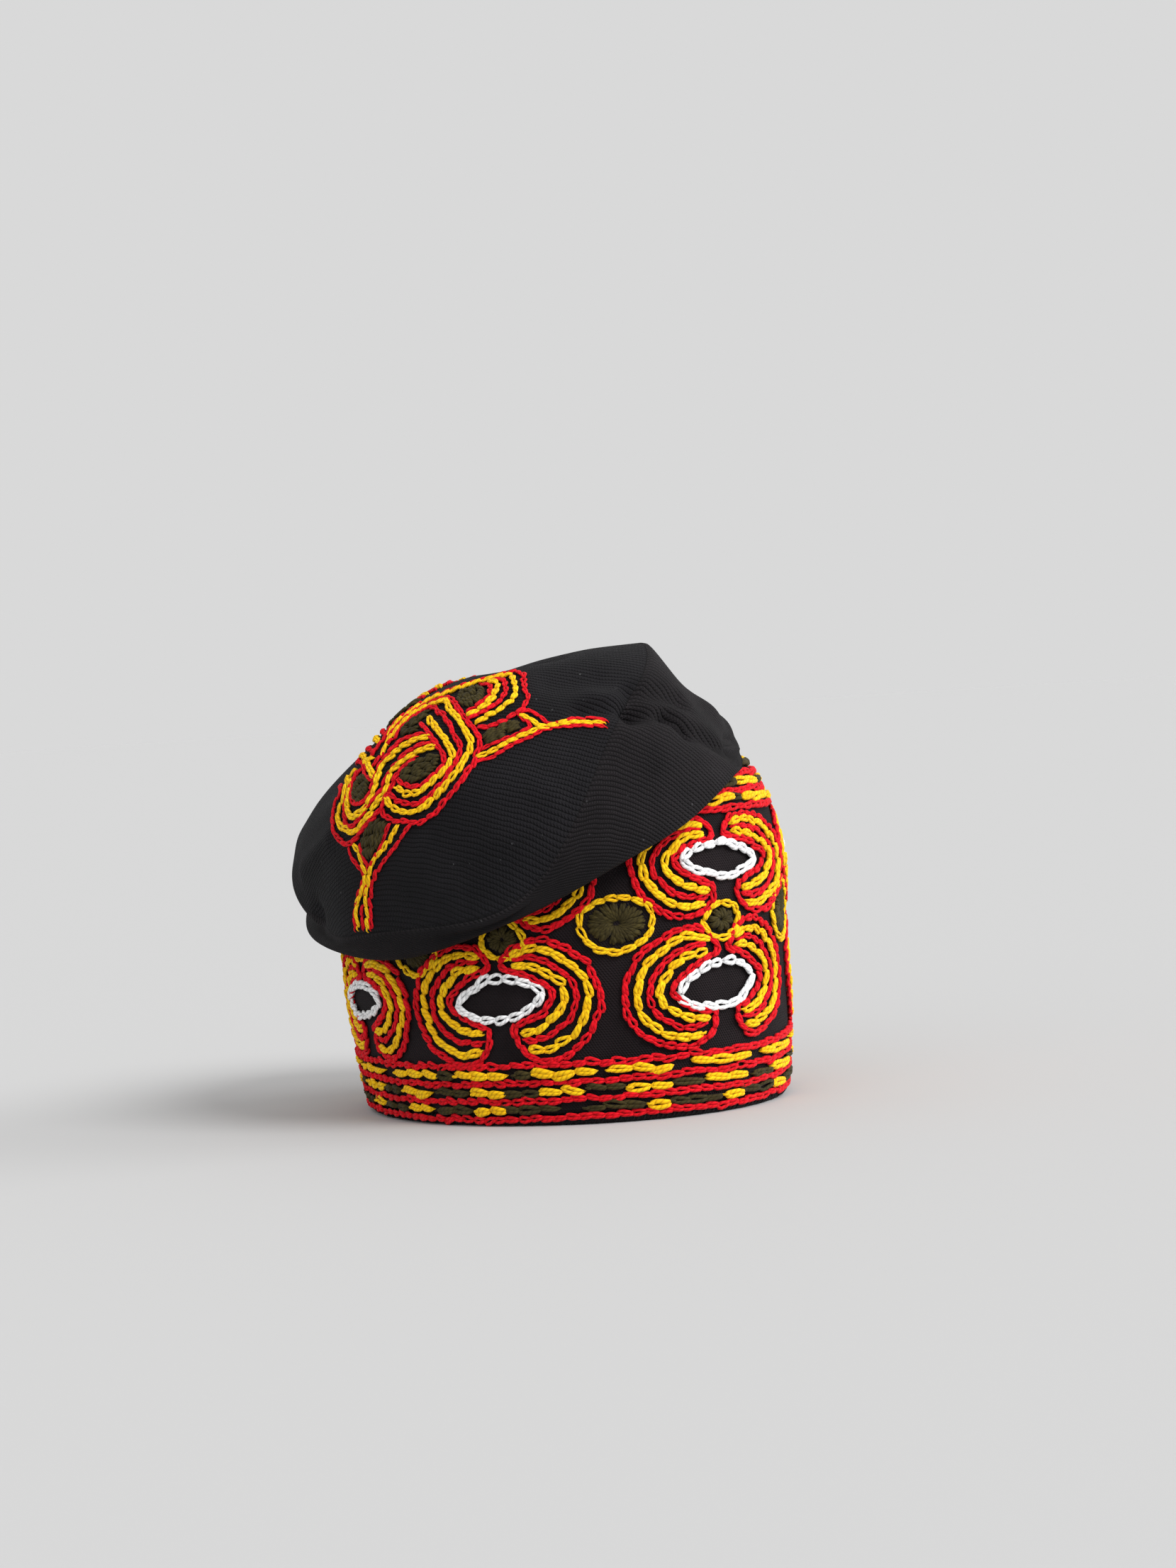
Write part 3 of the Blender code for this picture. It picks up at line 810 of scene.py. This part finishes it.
def crown_top():
    """The round top, as rings from the seam in to one point, with its wales straight across it."""
    insets = np.append(1.0 - SEWN_SHARE * SEAM_GAP / SEAM_RADIUS, np.linspace(FIRST_INSET, 0.0, TOP_RINGS))
    rings = folded(top_place(angles[None, :], insets[:, None])) - MIDDLE
    rows = len(rings) - 1
    faces = ring_faces(rows, COLUMNS, rows - 1)[0]
    column = np.arange(COLUMNS)
    last = (rows - 1) * COLUMNS
    tip = np.stack([last + column, last + (column + 1) % COLUMNS, np.full(COLUMNS, rows * COLUMNS)], axis=1)
    triangles = np.concatenate([faces[:, [0, 1, 2]], faces[:, [0, 2, 3]], tip])
    flat = TOP_SIZE / MM * insets[:, None, None] * np.stack([np.cos(angles), np.sin(angles)], axis=-1)
    place = np.concatenate([flat[:rows].reshape(-1, 2), [[0.0, 0.0]]])
    points = np.concatenate([rings[:rows].reshape(-1, 3), rings[rows, :1]])
    piece = new_piece("crown_top_knit", points, triangles, place[triangles].reshape(-1, 2))
    return thickened(piece, CROWN_CLOTH)


top = worn(crown_top(), CROWN_TOP_KNIT_PAINTED_DARKER, replaced=["crown_top"])


def hem_roll():
    """The edge: a soft black roll, oversewn with the same yarn."""
    sides = 10
    sewn = np.radians(np.linspace(0.0, 360.0, 300, endpoint=False))
    thread = Thread(5)
    outside = wall_place(-sewn, np.full(len(sewn), 0.5 * HEM_HEIGHT)) - MIDDLE
    middle = outside.mean(axis=0)
    inward = unit((middle - outside) * (1.0, 1.0, 0.0))
    centre = outside + 1.7 * MM * inward
    centre[:, 2] = 0.5 * HEM_HEIGHT + 0.1 * MM
    turn = np.linspace(0.0, 2.0 * math.pi, sides, endpoint=False)
    out = -1.75 * MM * np.cos(turn)[:, None, None] * inward
    up = 2.2 * MM * np.sin(turn)[:, None, None] * np.array((0.0, 0.0, 1.0))
    faces, rows_of, columns_of = ring_faces(sides, len(sewn), sides)
    thread.add(centre + out + up, faces, np.stack([columns_of * 1.9, rows_of / sides], axis=-1))
    stitches = 230
    bearing = np.linspace(0.0, 2.0 * math.pi, stitches, endpoint=False)
    bearing += thread.random.normal(0.0, 0.004, stitches)
    bent = np.linspace(0.0, 2.0 * math.pi, 12, endpoint=False)
    at = bearing[:, None] + (0.010 * np.sin(bent) + 0.006 * np.cos(bent))[None]
    base = wall_place(-at, np.full(at.shape, 0.5 * HEM_HEIGHT)) - MIDDLE
    inward = unit((middle - base) * (1.0, 1.0, 0.0))
    loose = thread.random.normal(1.0, 0.05, stitches)[:, None, None]
    loop = base + 1.7 * MM * inward
    loop[..., 2] = 0.5 * HEM_HEIGHT + 0.35 * MM
    loop -= inward * (2.05 * MM * np.cos(bent))[None, :, None] * loose
    loop[..., 2] += 2.1 * MM * np.sin(bent)[None] * loose[..., 0]
    outwards = unit(loop - np.mean(loop, axis=1, keepdims=True))
    thread.tube(loop, outwards, np.full(at.shape, 0.42 * MM), closed=True)
    return thread


hem = hem_roll().piece("hem_oversewn", HEM_YARN, slot="hem_cloth")
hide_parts("hem")


# The wall's embroidery

# A lobe's outer and inner curve, from its upper end to its lower end, in shares of its width and its height
LOBE_OUTER = (
    (0.06, 0.62),
    (0.19, 0.90),
    (0.42, 1.00),
    (0.66, 0.88),
    (0.88, 0.56),
    (1.00, 0.10),
    (0.98, -0.32),
    (0.84, -0.72),
    (0.60, -0.97),
    (0.38, -1.00),
    (0.20, -0.84),
    (0.13, -0.60),
)
LOBE_INNER = (
    (0.08, 0.52),
    (0.28, 0.42),
    (0.46, 0.23),
    (0.56, 0.02),
    (0.47, -0.20),
    (0.32, -0.34),
    (0.14, -0.47),
)

# The motifs, the lower row first: where each one's upright gap is, its eye's height, how far its lobes reach,
# and its eye
Motif = namedtuple("Motif", "arc height left right up down eye_off eye_long eye_high tilt")
MOTIFS = (
    Motif(10.0, 52.0, 44.5, 38.0, 24.5, 22.0, -3.5, 18.5, 9.0, 8.0),
    Motif(106.0, 52.0, 42.0, 42.0, 22.5, 25.5, 0.5, 19.0, 8.0, 7.0),
    Motif(188.0, 50.0, 36.0, 34.0, 19.0, 23.5, -4.0, 17.5, 6.8, 2.0),
    Motif(268.0, 51.0, 38.0, 38.0, 22.0, 24.0, 0.0, 17.5, 8.0, -4.0),
    Motif(348.0, 51.0, 38.0, 37.5, 23.0, 24.0, 0.5, 17.0, 8.5, 3.0),
    Motif(427.0, 52.0, 37.5, 38.0, 22.0, 24.5, -0.5, 17.5, 8.0, 5.0),
    Motif(505.0, 52.0, 36.5, 37.0, 23.0, 24.0, 0.0, 17.0, 8.5, -3.0),
    Motif(8.0, 102.0, 40.0, 46.0, 17.5, 21.5, -0.5, 18.5, 6.3, -3.0),
    Motif(102.0, 101.0, 40.0, 39.0, 18.5, 21.5, 0.0, 17.5, 7.0, 3.0),
    Motif(185.0, 100.5, 37.0, 36.0, 18.5, 21.0, 0.0, 17.0, 7.0, 0.0),
    Motif(267.0, 101.0, 38.5, 38.5, 18.5, 21.0, 0.5, 17.5, 6.8, 4.0),
    Motif(348.0, 101.0, 38.5, 37.0, 18.5, 21.5, 0.0, 17.5, 7.2, -2.0),
    Motif(429.0, 101.5, 37.5, 38.5, 18.0, 21.5, 0.0, 18.0, 7.0, 3.0),
    Motif(509.0, 102.0, 35.5, 35.5, 18.0, 21.5, 0.0, 17.5, 6.6, 0.0),
)

LOW_MOTIFS = 7

# Round spots between the columns, and small ones on them: middle, half width and half height
Spot = namedtuple("Spot", "arc height wide high")
SPOTS = (
    Spot(55.0, 80.0, 14.5, 11.0),
    Spot(146.0, 74.5, 12.0, 12.5),
    Spot(229.0, 76.0, 13.0, 11.5),
    Spot(308.0, 77.0, 13.0, 11.5),
    Spot(387.0, 77.0, 13.0, 11.5),
    Spot(466.0, 77.5, 13.0, 11.5),
    Spot(550.0, 78.0, 10.5, 12.5),
    Spot(10.0, 77.8, 8.8, 7.2),
    Spot(102.0, 76.0, 9.0, 8.0),
    Spot(187.0, 75.0, 8.5, 7.5),
    Spot(268.0, 76.5, 8.0, 7.5),
    Spot(348.0, 77.0, 8.0, 7.5),
    Spot(427.0, 77.5, 8.0, 7.5),
    Spot(505.0, 78.0, 8.0, 7.5),
)

# The two borders: the heights of their red lines, and the rows of dashes between them
LOWER_LINES = (3.4, 10.5, 17.8, 25.0)
UPPER_LINES = (121.8, 128.4, 134.9, 141.2)
DASH_REPEAT = 16
Dash = namedtuple("Dash", "row first long")
LOWER_DASHES = (Dash(0, 45.0, 11.5), Dash(1, 46.0, 20.0), Dash(2, 48.0, 28.5))
UPPER_DASHES = (Dash(0, 45.5, 28.0), Dash(1, 47.0, 20.0), Dash(2, 47.5, 13.0))


# In millimetres round the wall: where the borders' lines begin, at the back, and where the lower border has
# been sewn too high, towards the front left
BORDER_START = 290.0
DRIFT_ARC = -72.0
DRIFT_SPREAD = 46.0


def drift(arcs):
    """How far too high the lower border has been sewn."""
    aside = (arcs / MM - DRIFT_ARC + BORDER_START) % (GIRTH / MM) - BORDER_START
    wave = 0.5 * MM * np.sin(arcs / GIRTH * 2.0 * math.pi * 3.0)
    return 3.4 * MM * np.exp(-((aside / DRIFT_SPREAD) ** 2)) + wave


def lobe_curve(table, motif, side):
    """A lobe's curve, as arc and height. side is 1 towards the wearer's right and -1 towards the left."""
    shares = np.array(table)
    reach = motif.left if side > 0 else motif.right
    rise = np.where(shares[:, 1] > 0.0, motif.up, motif.down)
    lean = math.sin(math.radians(motif.tilt)) * 0.35
    out = shares[:, 0] * reach
    arcs = motif.arc + side * out
    heights = motif.height + shares[:, 1] * rise - side * lean * out
    return smooth_line(np.stack([arcs, heights], axis=1))


def fill_spot(thread, spot):
    """Straight stitches from a spot's middle to its edge, and shorter ones between them."""
    random = thread.random
    count = 34 if spot.wide > 9.2 else 16
    middle = np.array([spot.arc, spot.height]) * MM
    wide, high = (spot.wide - 2.2) * MM, (spot.high - 2.2) * MM
    angle = np.linspace(0.0, 2.0 * math.pi, count, endpoint=False) + random.normal(0.0, 0.06, count)
    for inner, outer, turned, every in ((0.06, 0.98, 0.0, 1), (0.42, 1.0, math.pi / count, 2)):
        pick = angle[::every] + turned
        way = np.stack([wide * np.cos(pick), high * np.sin(pick)], axis=1)
        reach = outer - random.uniform(0.0, 0.06, len(pick))
        first = inner + random.uniform(0.0, 0.08, len(pick))
        starts, off = stroke(on_wall, middle + way * first[:, None])
        ends = stroke(on_wall, middle + way * reach[:, None])[0]
        thread.strands(starts, ends, off, FILLING, 0.55 * FILLING)


def embroider_motif(motif, red, yellow, white):
    """A lobe on either side with three curves in it, and a white eye over the gap between them."""
    for side in (1, -1):
        outer = evenly(lobe_curve(LOBE_OUTER, motif, side), 48)
        inner = evenly(lobe_curve(LOBE_INNER, motif, side), 48)
        ring = np.concatenate([outer, inner[::-1]])[::3]
        red.chain(sewn_line(on_wall, ring, red.random, 0.35 * MM, closed=True), LOBE_EDGE, closed=True)
        for share, thread, stitch, cut in (
            (0.25, yellow, LOBE_YELLOW, 3),
            (0.50, red, LOBE_RED, 4),
            (0.74, yellow, LOBE_YELLOW, 4),
        ):
            line = ((1.0 - share) * outer + share * inner)[cut:-cut:3]
            thread.chain(sewn_line(on_wall, line, thread.random, 0.3 * MM), stitch)
    turn = np.linspace(0.0, 2.0 * math.pi, 20, endpoint=False)
    high = motif.eye_high * np.sin(turn) * np.abs(np.sin(turn)) ** 0.5
    lens = np.stack([motif.eye_long * np.cos(turn), high], axis=1)
    tilt = math.radians(motif.tilt)
    spin = np.array([[math.cos(tilt), -math.sin(tilt)], [math.sin(tilt), math.cos(tilt)]])
    lens = lens @ spin + (motif.arc - motif.eye_off, motif.height)
    white.chain(sewn_line(on_wall, lens, white.random, 0.3 * MM, closed=True), EYE_EDGE, closed=True)


def embroider_spot(spot, yellow, olive):
    """A yellow ring, filled with olive."""
    turn = np.linspace(0.0, 2.0 * math.pi, 12, endpoint=False)
    edge = np.stack([spot.arc + spot.wide * np.cos(turn), spot.height + spot.high * np.sin(turn)], axis=1)
    yellow.chain(sewn_line(on_wall, edge, yellow.random, 0.45 * MM, closed=True), SPOT_EDGE, closed=True)
    fill_spot(olive, spot)


def dash_swell(share):
    """A dash's width at a share of the way along it."""
    return 0.72 + 0.32 * np.sin(math.pi * share)


def embroider_border(lines, dashes, lift, red, yellow, olive):
    """Red lines, and dashes of yellow and olive between them. lift is how much of the drift they follow."""
    arcs = np.linspace(0.0, GIRTH / MM, 121)[:-1] + BORDER_START
    for height in lines:
        heights = height + lift * drift(arcs * MM) / MM
        line = smooth_line(np.stack([arcs, heights], axis=1) * MM, parts=6)
        red.chain(stroke(on_wall, wavering(line, red.random, 0.28 * MM)), BORDER_LINE)
    step = GIRTH / MM / DASH_REPEAT
    for dash in dashes:
        height = 0.5 * (lines[dash.row] + lines[dash.row + 1])
        for repeat in range(DASH_REPEAT):
            start = dash.first + repeat * step + yellow.random.normal(0.0, 1.2)
            half = 0.5 * dash.long + yellow.random.normal(0.0, 1.0)
            for thread, low, high, stitch in (
                (yellow, start - half, start + half - 1.5, YELLOW_DASH),
                (olive, start + half + 0.5, start + step - half - 2.0, OLIVE_DASH),
            ):
                along = np.linspace(low, high, 7)
                heights = height + lift * drift(along * MM) / MM + thread.random.normal(0.0, 0.25)
                line = wavering(np.stack([along, heights], axis=1) * MM, thread.random, 0.25 * MM)
                thread.chain(stroke(on_wall, smooth_line(line)), stitch, swell=dash_swell)


def embroider_wall():
    red_low, red_high, red_lines = Thread(11), Thread(12), Thread(13)
    yellow, yellow_dashes, white, olive = Thread(21), Thread(22), Thread(31), Thread(41)
    for place, motif in enumerate(MOTIFS):
        embroider_motif(motif, red_low if place < LOW_MOTIFS else red_high, yellow, white)
    for spot in SPOTS:
        embroider_spot(spot, yellow, olive)
    embroider_border(LOWER_LINES, LOWER_DASHES, 1.0, red_lines, yellow_dashes, olive)
    embroider_border(UPPER_LINES, UPPER_DASHES, 0.0, red_lines, yellow_dashes, olive)
    red_low.piece("red_lobes_low", RED)
    red_high.piece("red_lobes_high", RED)
    red_lines.piece("red_border_lines", RED)
    yellow.piece("yellow_lobes_and_rings", YELLOW)
    yellow_dashes.piece("yellow_dashes", YELLOW)
    white.piece("white_eyes", WHITE)
    olive.piece("olive_spots_and_dashes", OLIVE)


embroider_wall()


# The knot on the round top, in millimetres from the cloth's middle: to the right side seam, and to the front
NEAR_PETAL = (
    ("red", ((-13, 15), (-2, 27), (12, 42), (17, 47), (25, 48), (36, 45), (48, 37), (55, 31), (58, 23),
             (58, 13), (55, 3), (51, 0))),
    ("yellow", ((-10, 9), (-11, 14), (-7, 17), (7, 32), (14, 39), (20, 43), (30, 42), (41, 36),
             (52, 25), (54, 17), (52, 9), (47, 2))),
    ("red", ((-5, 12), (6, 25), (14, 32), (20, 37), (26, 39), (38, 35), (48, 26), (50, 19), (48, 11),
             (44, 3))),
    ("yellow", ((1, 11), (17, 27), (22, 32), (27, 35), (34, 33), (44, 23), (45, 16), (42, 7))),
    ("red", ((4, 7), (20, 24), (26, 30), (30, 32), (36, 28), (41, 22), (42, 15), (38, 7))),
    ("olive", ((32, 7), (28, 13), (25, 22), (26, 28), (31, 28), (36, 25), (39, 19), (40, 12), (37, 7))),
)
LEFT_PETAL = (
    ("red", ((12, -57), (18, -49), (27, -43), (31, -46), (38, -46), (46, -43), (54, -38), (62, -26),
             (61, -17), (54, -6), (51, -1), (46, 0), (41, 3), (35, 4), (30, 9), (27, 13))),
    ("yellow", ((18, -34), (20, -39), (27, -37), (34, -37), (41, -39), (50, -34), (57, -23), (56, -14),
             (46, -4), (41, 0), (32, 0), (27, 7), (23, 14), (21, 23))),
    ("red", ((22, -26), (25, -32), (32, -33), (39, -34), (46, -32), (53, -26), (53, -19), (45, -9),
             (40, -4), (32, -2), (26, 3), (21, 9), (18, 20))),
    ("yellow", ((24, -34), (33, -32), (40, -31), (46, -28), (49, -24), (49, -16), (46, -12), (41, -9),
             (28, -8), (22, -4), (18, 1), (14, 16))),
    ("red", ((21, -31), (28, -32), (38, -28), (44, -22), (43, -15), (38, -12), (24, -10), (18, -6),
             (13, 0), (12, 11))),
    ("olive", ((25, -24), (27, -29), (33, -30), (40, -25), (44, -20), (42, -16), (37, -15), (30, -18))),
)
BACK_PETAL = (
    ("red", ((10, 43), (9, 48), (6, 53), (0, 59), (-6, 61), (-12, 59), (-21, 52), (-27, 48), (-33, 41),
             (-32, 37), (-28, 28), (-24, 16), (-21, 4), (-18, -3), (-14, -10), (-10, -14), (-6, -17),
             (0, -18), (6, -18), (11, -20), (16, -22), (19, -26))),
    ("yellow", ((8, 41), (3, 45), (-1, 50), (-6, 52), (-11, 53), (-17, 50), (-24, 45), (-29, 40),
             (-28, 34), (-23, 20), (-18, 8), (-17, 2), (-15, -2), (-9, -9), (-6, -12), (-2, -14),
             (4, -15))),
    ("red", ((5, 36), (1, 41), (-3, 45), (-7, 47), (-13, 47), (-19, 43), (-25, 38), (-25, 32))),
    ("yellow", ((3, 34), (-2, 39), (-5, 41), (-10, 42), (-15, 41), (-21, 38), (-24, 32))),
    ("red", ((0, 32), (-5, 37), (-10, 39), (-15, 38), (-20, 34), (-22, 28))),
    ("red", ((-13, 15), (-15, 9), (-14, 3), (-11, -4), (-6, -9), (0, -12), (6, -14))),
    ("yellow", ((-10, 9), (-10, 4), (-9, 0), (-7, -3), (1, -9), (6, -11), (12, -11), (18, -12))),
    ("red", ((-5, 12), (-8, 7), (-8, 3), (-5, -1), (0, -6), (5, -8), (10, -9), (14, -12), (19, -13),
             (23, -16))),
    ("yellow", ((16, -24), (20, -22), (26, -17), (31, -13))),
    ("red", ((19, -26), (24, -23), (29, -19), (33, -14))),
    ("olive", ((-18, 17), (-21, 20), (-21, 26), (-18, 32), (-12, 36), (-7, 36), (-4, 32), (-6, 27),
             (-12, 20))),
    ("olive", ((-6, 7), (-3, 0), (1, -5), (6, -6), (10, -3), (5, 0), (1, 5), (-2, 8))),
    ("olive", ((10, -3), (6, 0), (5, 5), (7, 8), (9, 5), (10, 0))),
)
RIGHT_ARM = (
    ("red", ((29, 48), (24, 56), (14, 67), (10, 72), (6, 76), (4, 80), (-1, 94), (-2, 101))),
    ("yellow", ((26, 48), (23, 53), (15, 62), (11, 67), (8, 71), (4, 76), (-1, 88), (-4, 100))),
    ("red", ((22, 49), (19, 53), (14, 60), (10, 65), (7, 68))),
    ("red", ((-1, 61), (-3, 64), (-1, 69), (2, 75), (2, 78), (-1, 84), (-4, 88), (-6, 94), (-6, 100))),
    ("yellow", ((1, 61), (1, 64), (3, 69), (5, 73), (4, 77), (0, 85), (-2, 90))),
    ("red", ((0, 59), (2, 64), (5, 68), (7, 68))),
    ("olive", ((15, 47), (12, 48), (8, 52), (5, 57), (4, 62), (6, 65), (8, 63), (13, 58), (17, 54),
             (19, 49))),
)
FRONT_ARM = (
    ("red", ((64, -24), (70, -20), (79, -9), (84, -9), (88, -11), (93, -12), (97, -13), (102, -11))),
    ("yellow", ((64, -19), (68, -15), (74, -11), (79, -7), (84, -6), (88, -8), (93, -10), (97, -10),
             (102, -8))),
    ("red", ((65, -14), (68, -12), (73, -9), (77, -6))),
    ("red", ((59, 7), (64, 5), (68, 3), (72, 0), (76, -3), (78, -4))),
    ("yellow", ((59, 13), (65, 8), (70, 5), (74, 0), (79, -3), (84, -3), (90, -4), (97, -2), (103, 0))),
    ("red", ((59, 20), (66, 15), (71, 11), (76, 5), (80, 1), (85, 0), (91, -1), (97, 1), (103, 2))),
    ("red", ((84, -5), (90, -5), (96, -6), (102, -4))),
    ("olive", ((61, -11), (56, -7), (56, -3), (57, 3), (63, 4), (67, 2), (72, -2), (74, -5), (72, -10),
             (67, -12))),
)
KNOT_MIDDLE = (4.0, -5.0)
KNOT_REACH = 103.8

# The knot's parts: how far each is turned round its middle, and how thin its stitches are
Part = namedtuple("Part", "lines turn thin")
KNOT = (
    Part(NEAR_PETAL, 0.0, 1.0),
    Part(LEFT_PETAL, 0.0, 1.0),
    Part(BACK_PETAL, 0.0, 1.0),
    Part(RIGHT_ARM, 0.0, 0.78),
    Part(FRONT_ARM, 0.0, 0.78),
    Part(NEAR_PETAL, 180.0, 1.0),
    Part(FRONT_ARM, 200.0, 0.78),
)


def inside(corners, points):
    """Which of the points lie in the many-sided shape."""
    odd = np.zeros(len(points), bool)
    for (x1, y1), (x2, y2) in zip(corners, np.roll(corners, -1, axis=0)):
        crosses = (y1 > points[:, 1]) != (y2 > points[:, 1])
        where = x1 + (points[:, 1] - y1) * (x2 - x1) / (y2 - y1 if y2 != y1 else 1e-9)
        odd ^= crosses & (points[:, 0] < where)
    return odd


def fill_shape(thread, corners):
    """Straight stitches in rows that cover a many-sided shape, laid along its longest way."""
    random = thread.random
    corners = np.asarray(corners, float)
    middle = corners.mean(axis=0)
    ways = np.linalg.svd(corners - middle)[2]
    size = np.abs((corners - middle) @ ways.T).max(axis=0)
    starts, ends = [], []
    for aside in np.arange(-size[1], size[1], 1.25):
        reach = np.arange(-size[0], size[0], 0.25)
        points = middle + reach[:, None] * ways[0] + aside * ways[1]
        held = reach[inside(corners, points)]
        if len(held) < 4:
            continue
        cuts = np.arange(held[0], held[-1], 6.0)
        for cut in cuts:
            first = cut + random.normal(0.0, 0.8)
            last = min(first + 7.0 + random.normal(0.0, 0.7), held[-1] + 0.3)
            if last - first < 2.0:
                continue
            off = aside + random.normal(0.0, 0.25, 2)
            starts.append(middle + first * ways[0] + off[0] * ways[1])
            ends.append(middle + last * ways[0] + off[1] * ways[1])
    begin, outwards = stroke(on_top, np.array(starts) * MM)
    finish = stroke(on_top, np.array(ends) * MM)[0]
    thread.strands(begin, finish, outwards, FILLING, 0.6 * FILLING)


def embroider_top():
    red, yellow, olive = Thread(61), Thread(62), Thread(63)
    sewn = {"red": (red, KNOT_RED), "yellow": (yellow, KNOT_YELLOW)}
    for part in KNOT:
        angle = math.radians(part.turn)
        spin = np.array([[math.cos(angle), math.sin(angle)], [-math.sin(angle), math.cos(angle)]])
        for colour, points in part.lines:
            line = (np.array(points, float) - KNOT_MIDDLE) @ spin + KNOT_MIDDLE
            line *= np.minimum(1.0, KNOT_REACH / np.maximum(np.hypot(*line.T), 1.0))[:, None]
            if colour == "olive":
                fill_shape(olive, line)
                continue
            thread, stitch = sewn[colour]
            thread.chain(sewn_line(on_top, line, thread.random, 0.2 * MM), stitch, thin=part.thin)
    red.piece("red_knot", RED)
    yellow.piece("yellow_knot", YELLOW)
    olive.piece("olive_knot", OLIVE)


embroider_top()


# The floor, the light and the camera

def plain_floor():
    size = 40.0
    mesh = bpy.data.meshes.new("floor")
    corners = [(-size, -size, 0.0), (size, -size, 0.0), (size, size, 0.0), (-size, size, 0.0)]
    mesh.from_pydata(corners, [], [(0, 1, 2, 3)])
    floor = bpy.data.objects.new("floor", mesh)
    bpy.context.scene.collection.objects.link(floor)
    material, shader, _ = new_material("pale_floor", 0.9, 0.0)
    shader.inputs["Base Color"].default_value = (0.505, 0.505, 0.505, 1.0)
    mesh.materials.append(material)


CAMERA_TURN = math.radians(-45.0)
CAMERA_ASIDE = Vector((math.cos(CAMERA_TURN), math.sin(CAMERA_TURN), 0.0))
CAMERA_OUT = Vector((math.sin(CAMERA_TURN), -math.cos(CAMERA_TURN), 0.0))


def light(name, aside, out, up, strength, spread):
    """A soft distant light, placed as seen from the camera."""
    lamp = bpy.data.lights.new(name, "SUN")
    lamp.energy = strength
    lamp.angle = math.radians(spread)
    holder = bpy.data.objects.new(name, lamp)
    bpy.context.scene.collection.objects.link(holder)
    way = aside * CAMERA_ASIDE + out * CAMERA_OUT + Vector((0.0, 0.0, up))
    holder.rotation_euler = way.to_track_quat("Z", "Y").to_euler()
    holder.location = way


def studio():
    scene = bpy.context.scene
    world = bpy.data.worlds.new("studio")
    world.use_nodes = True
    world.node_tree.nodes["Background"].inputs["Color"].default_value = (0.694, 0.694, 0.694, 1.0)
    world.node_tree.nodes["Background"].inputs["Strength"].default_value = 1.0
    scene.world = world
    light("key", 0.75, 0.75, 0.95, 2.2, 25.0)
    light("side", 1.0, 0.05, 0.3, 1.6, 40.0)
    light("fill", -0.5, 0.9, 0.5, 0.4, 50.0)
    scene.view_settings.view_transform = "Standard"
    plain_floor()


def camera():
    lens = bpy.data.cameras.new("camera")
    lens.sensor_fit = "VERTICAL"
    lens.sensor_height = 36.0
    lens.lens = 72.84
    holder = bpy.data.objects.new("camera", lens)
    bpy.context.scene.collection.objects.link(holder)
    base = Vector((MIDDLE_RIGHT, -MIDDLE_BACK, 0.0))
    place = base + 1.35 * CAMERA_OUT + Vector((0.0, 0.0, 0.168))
    aim = base + 0.0123 * CAMERA_ASIDE + Vector((0.0, 0.0, 0.1335))
    forward = (aim - place).normalized()
    level = forward.cross(Vector((0.0, 0.0, 1.0))).normalized()
    upright = level.cross(forward)
    roll = math.radians(3.8)
    right = level * math.cos(roll) - upright * math.sin(roll)
    up = upright * math.cos(roll) + level * math.sin(roll)
    turn = Matrix((right, up, -forward)).transposed()
    holder.matrix_world = Matrix.Translation(place) @ turn.to_4x4()
    bpy.context.scene.camera = holder


camera()
studio()
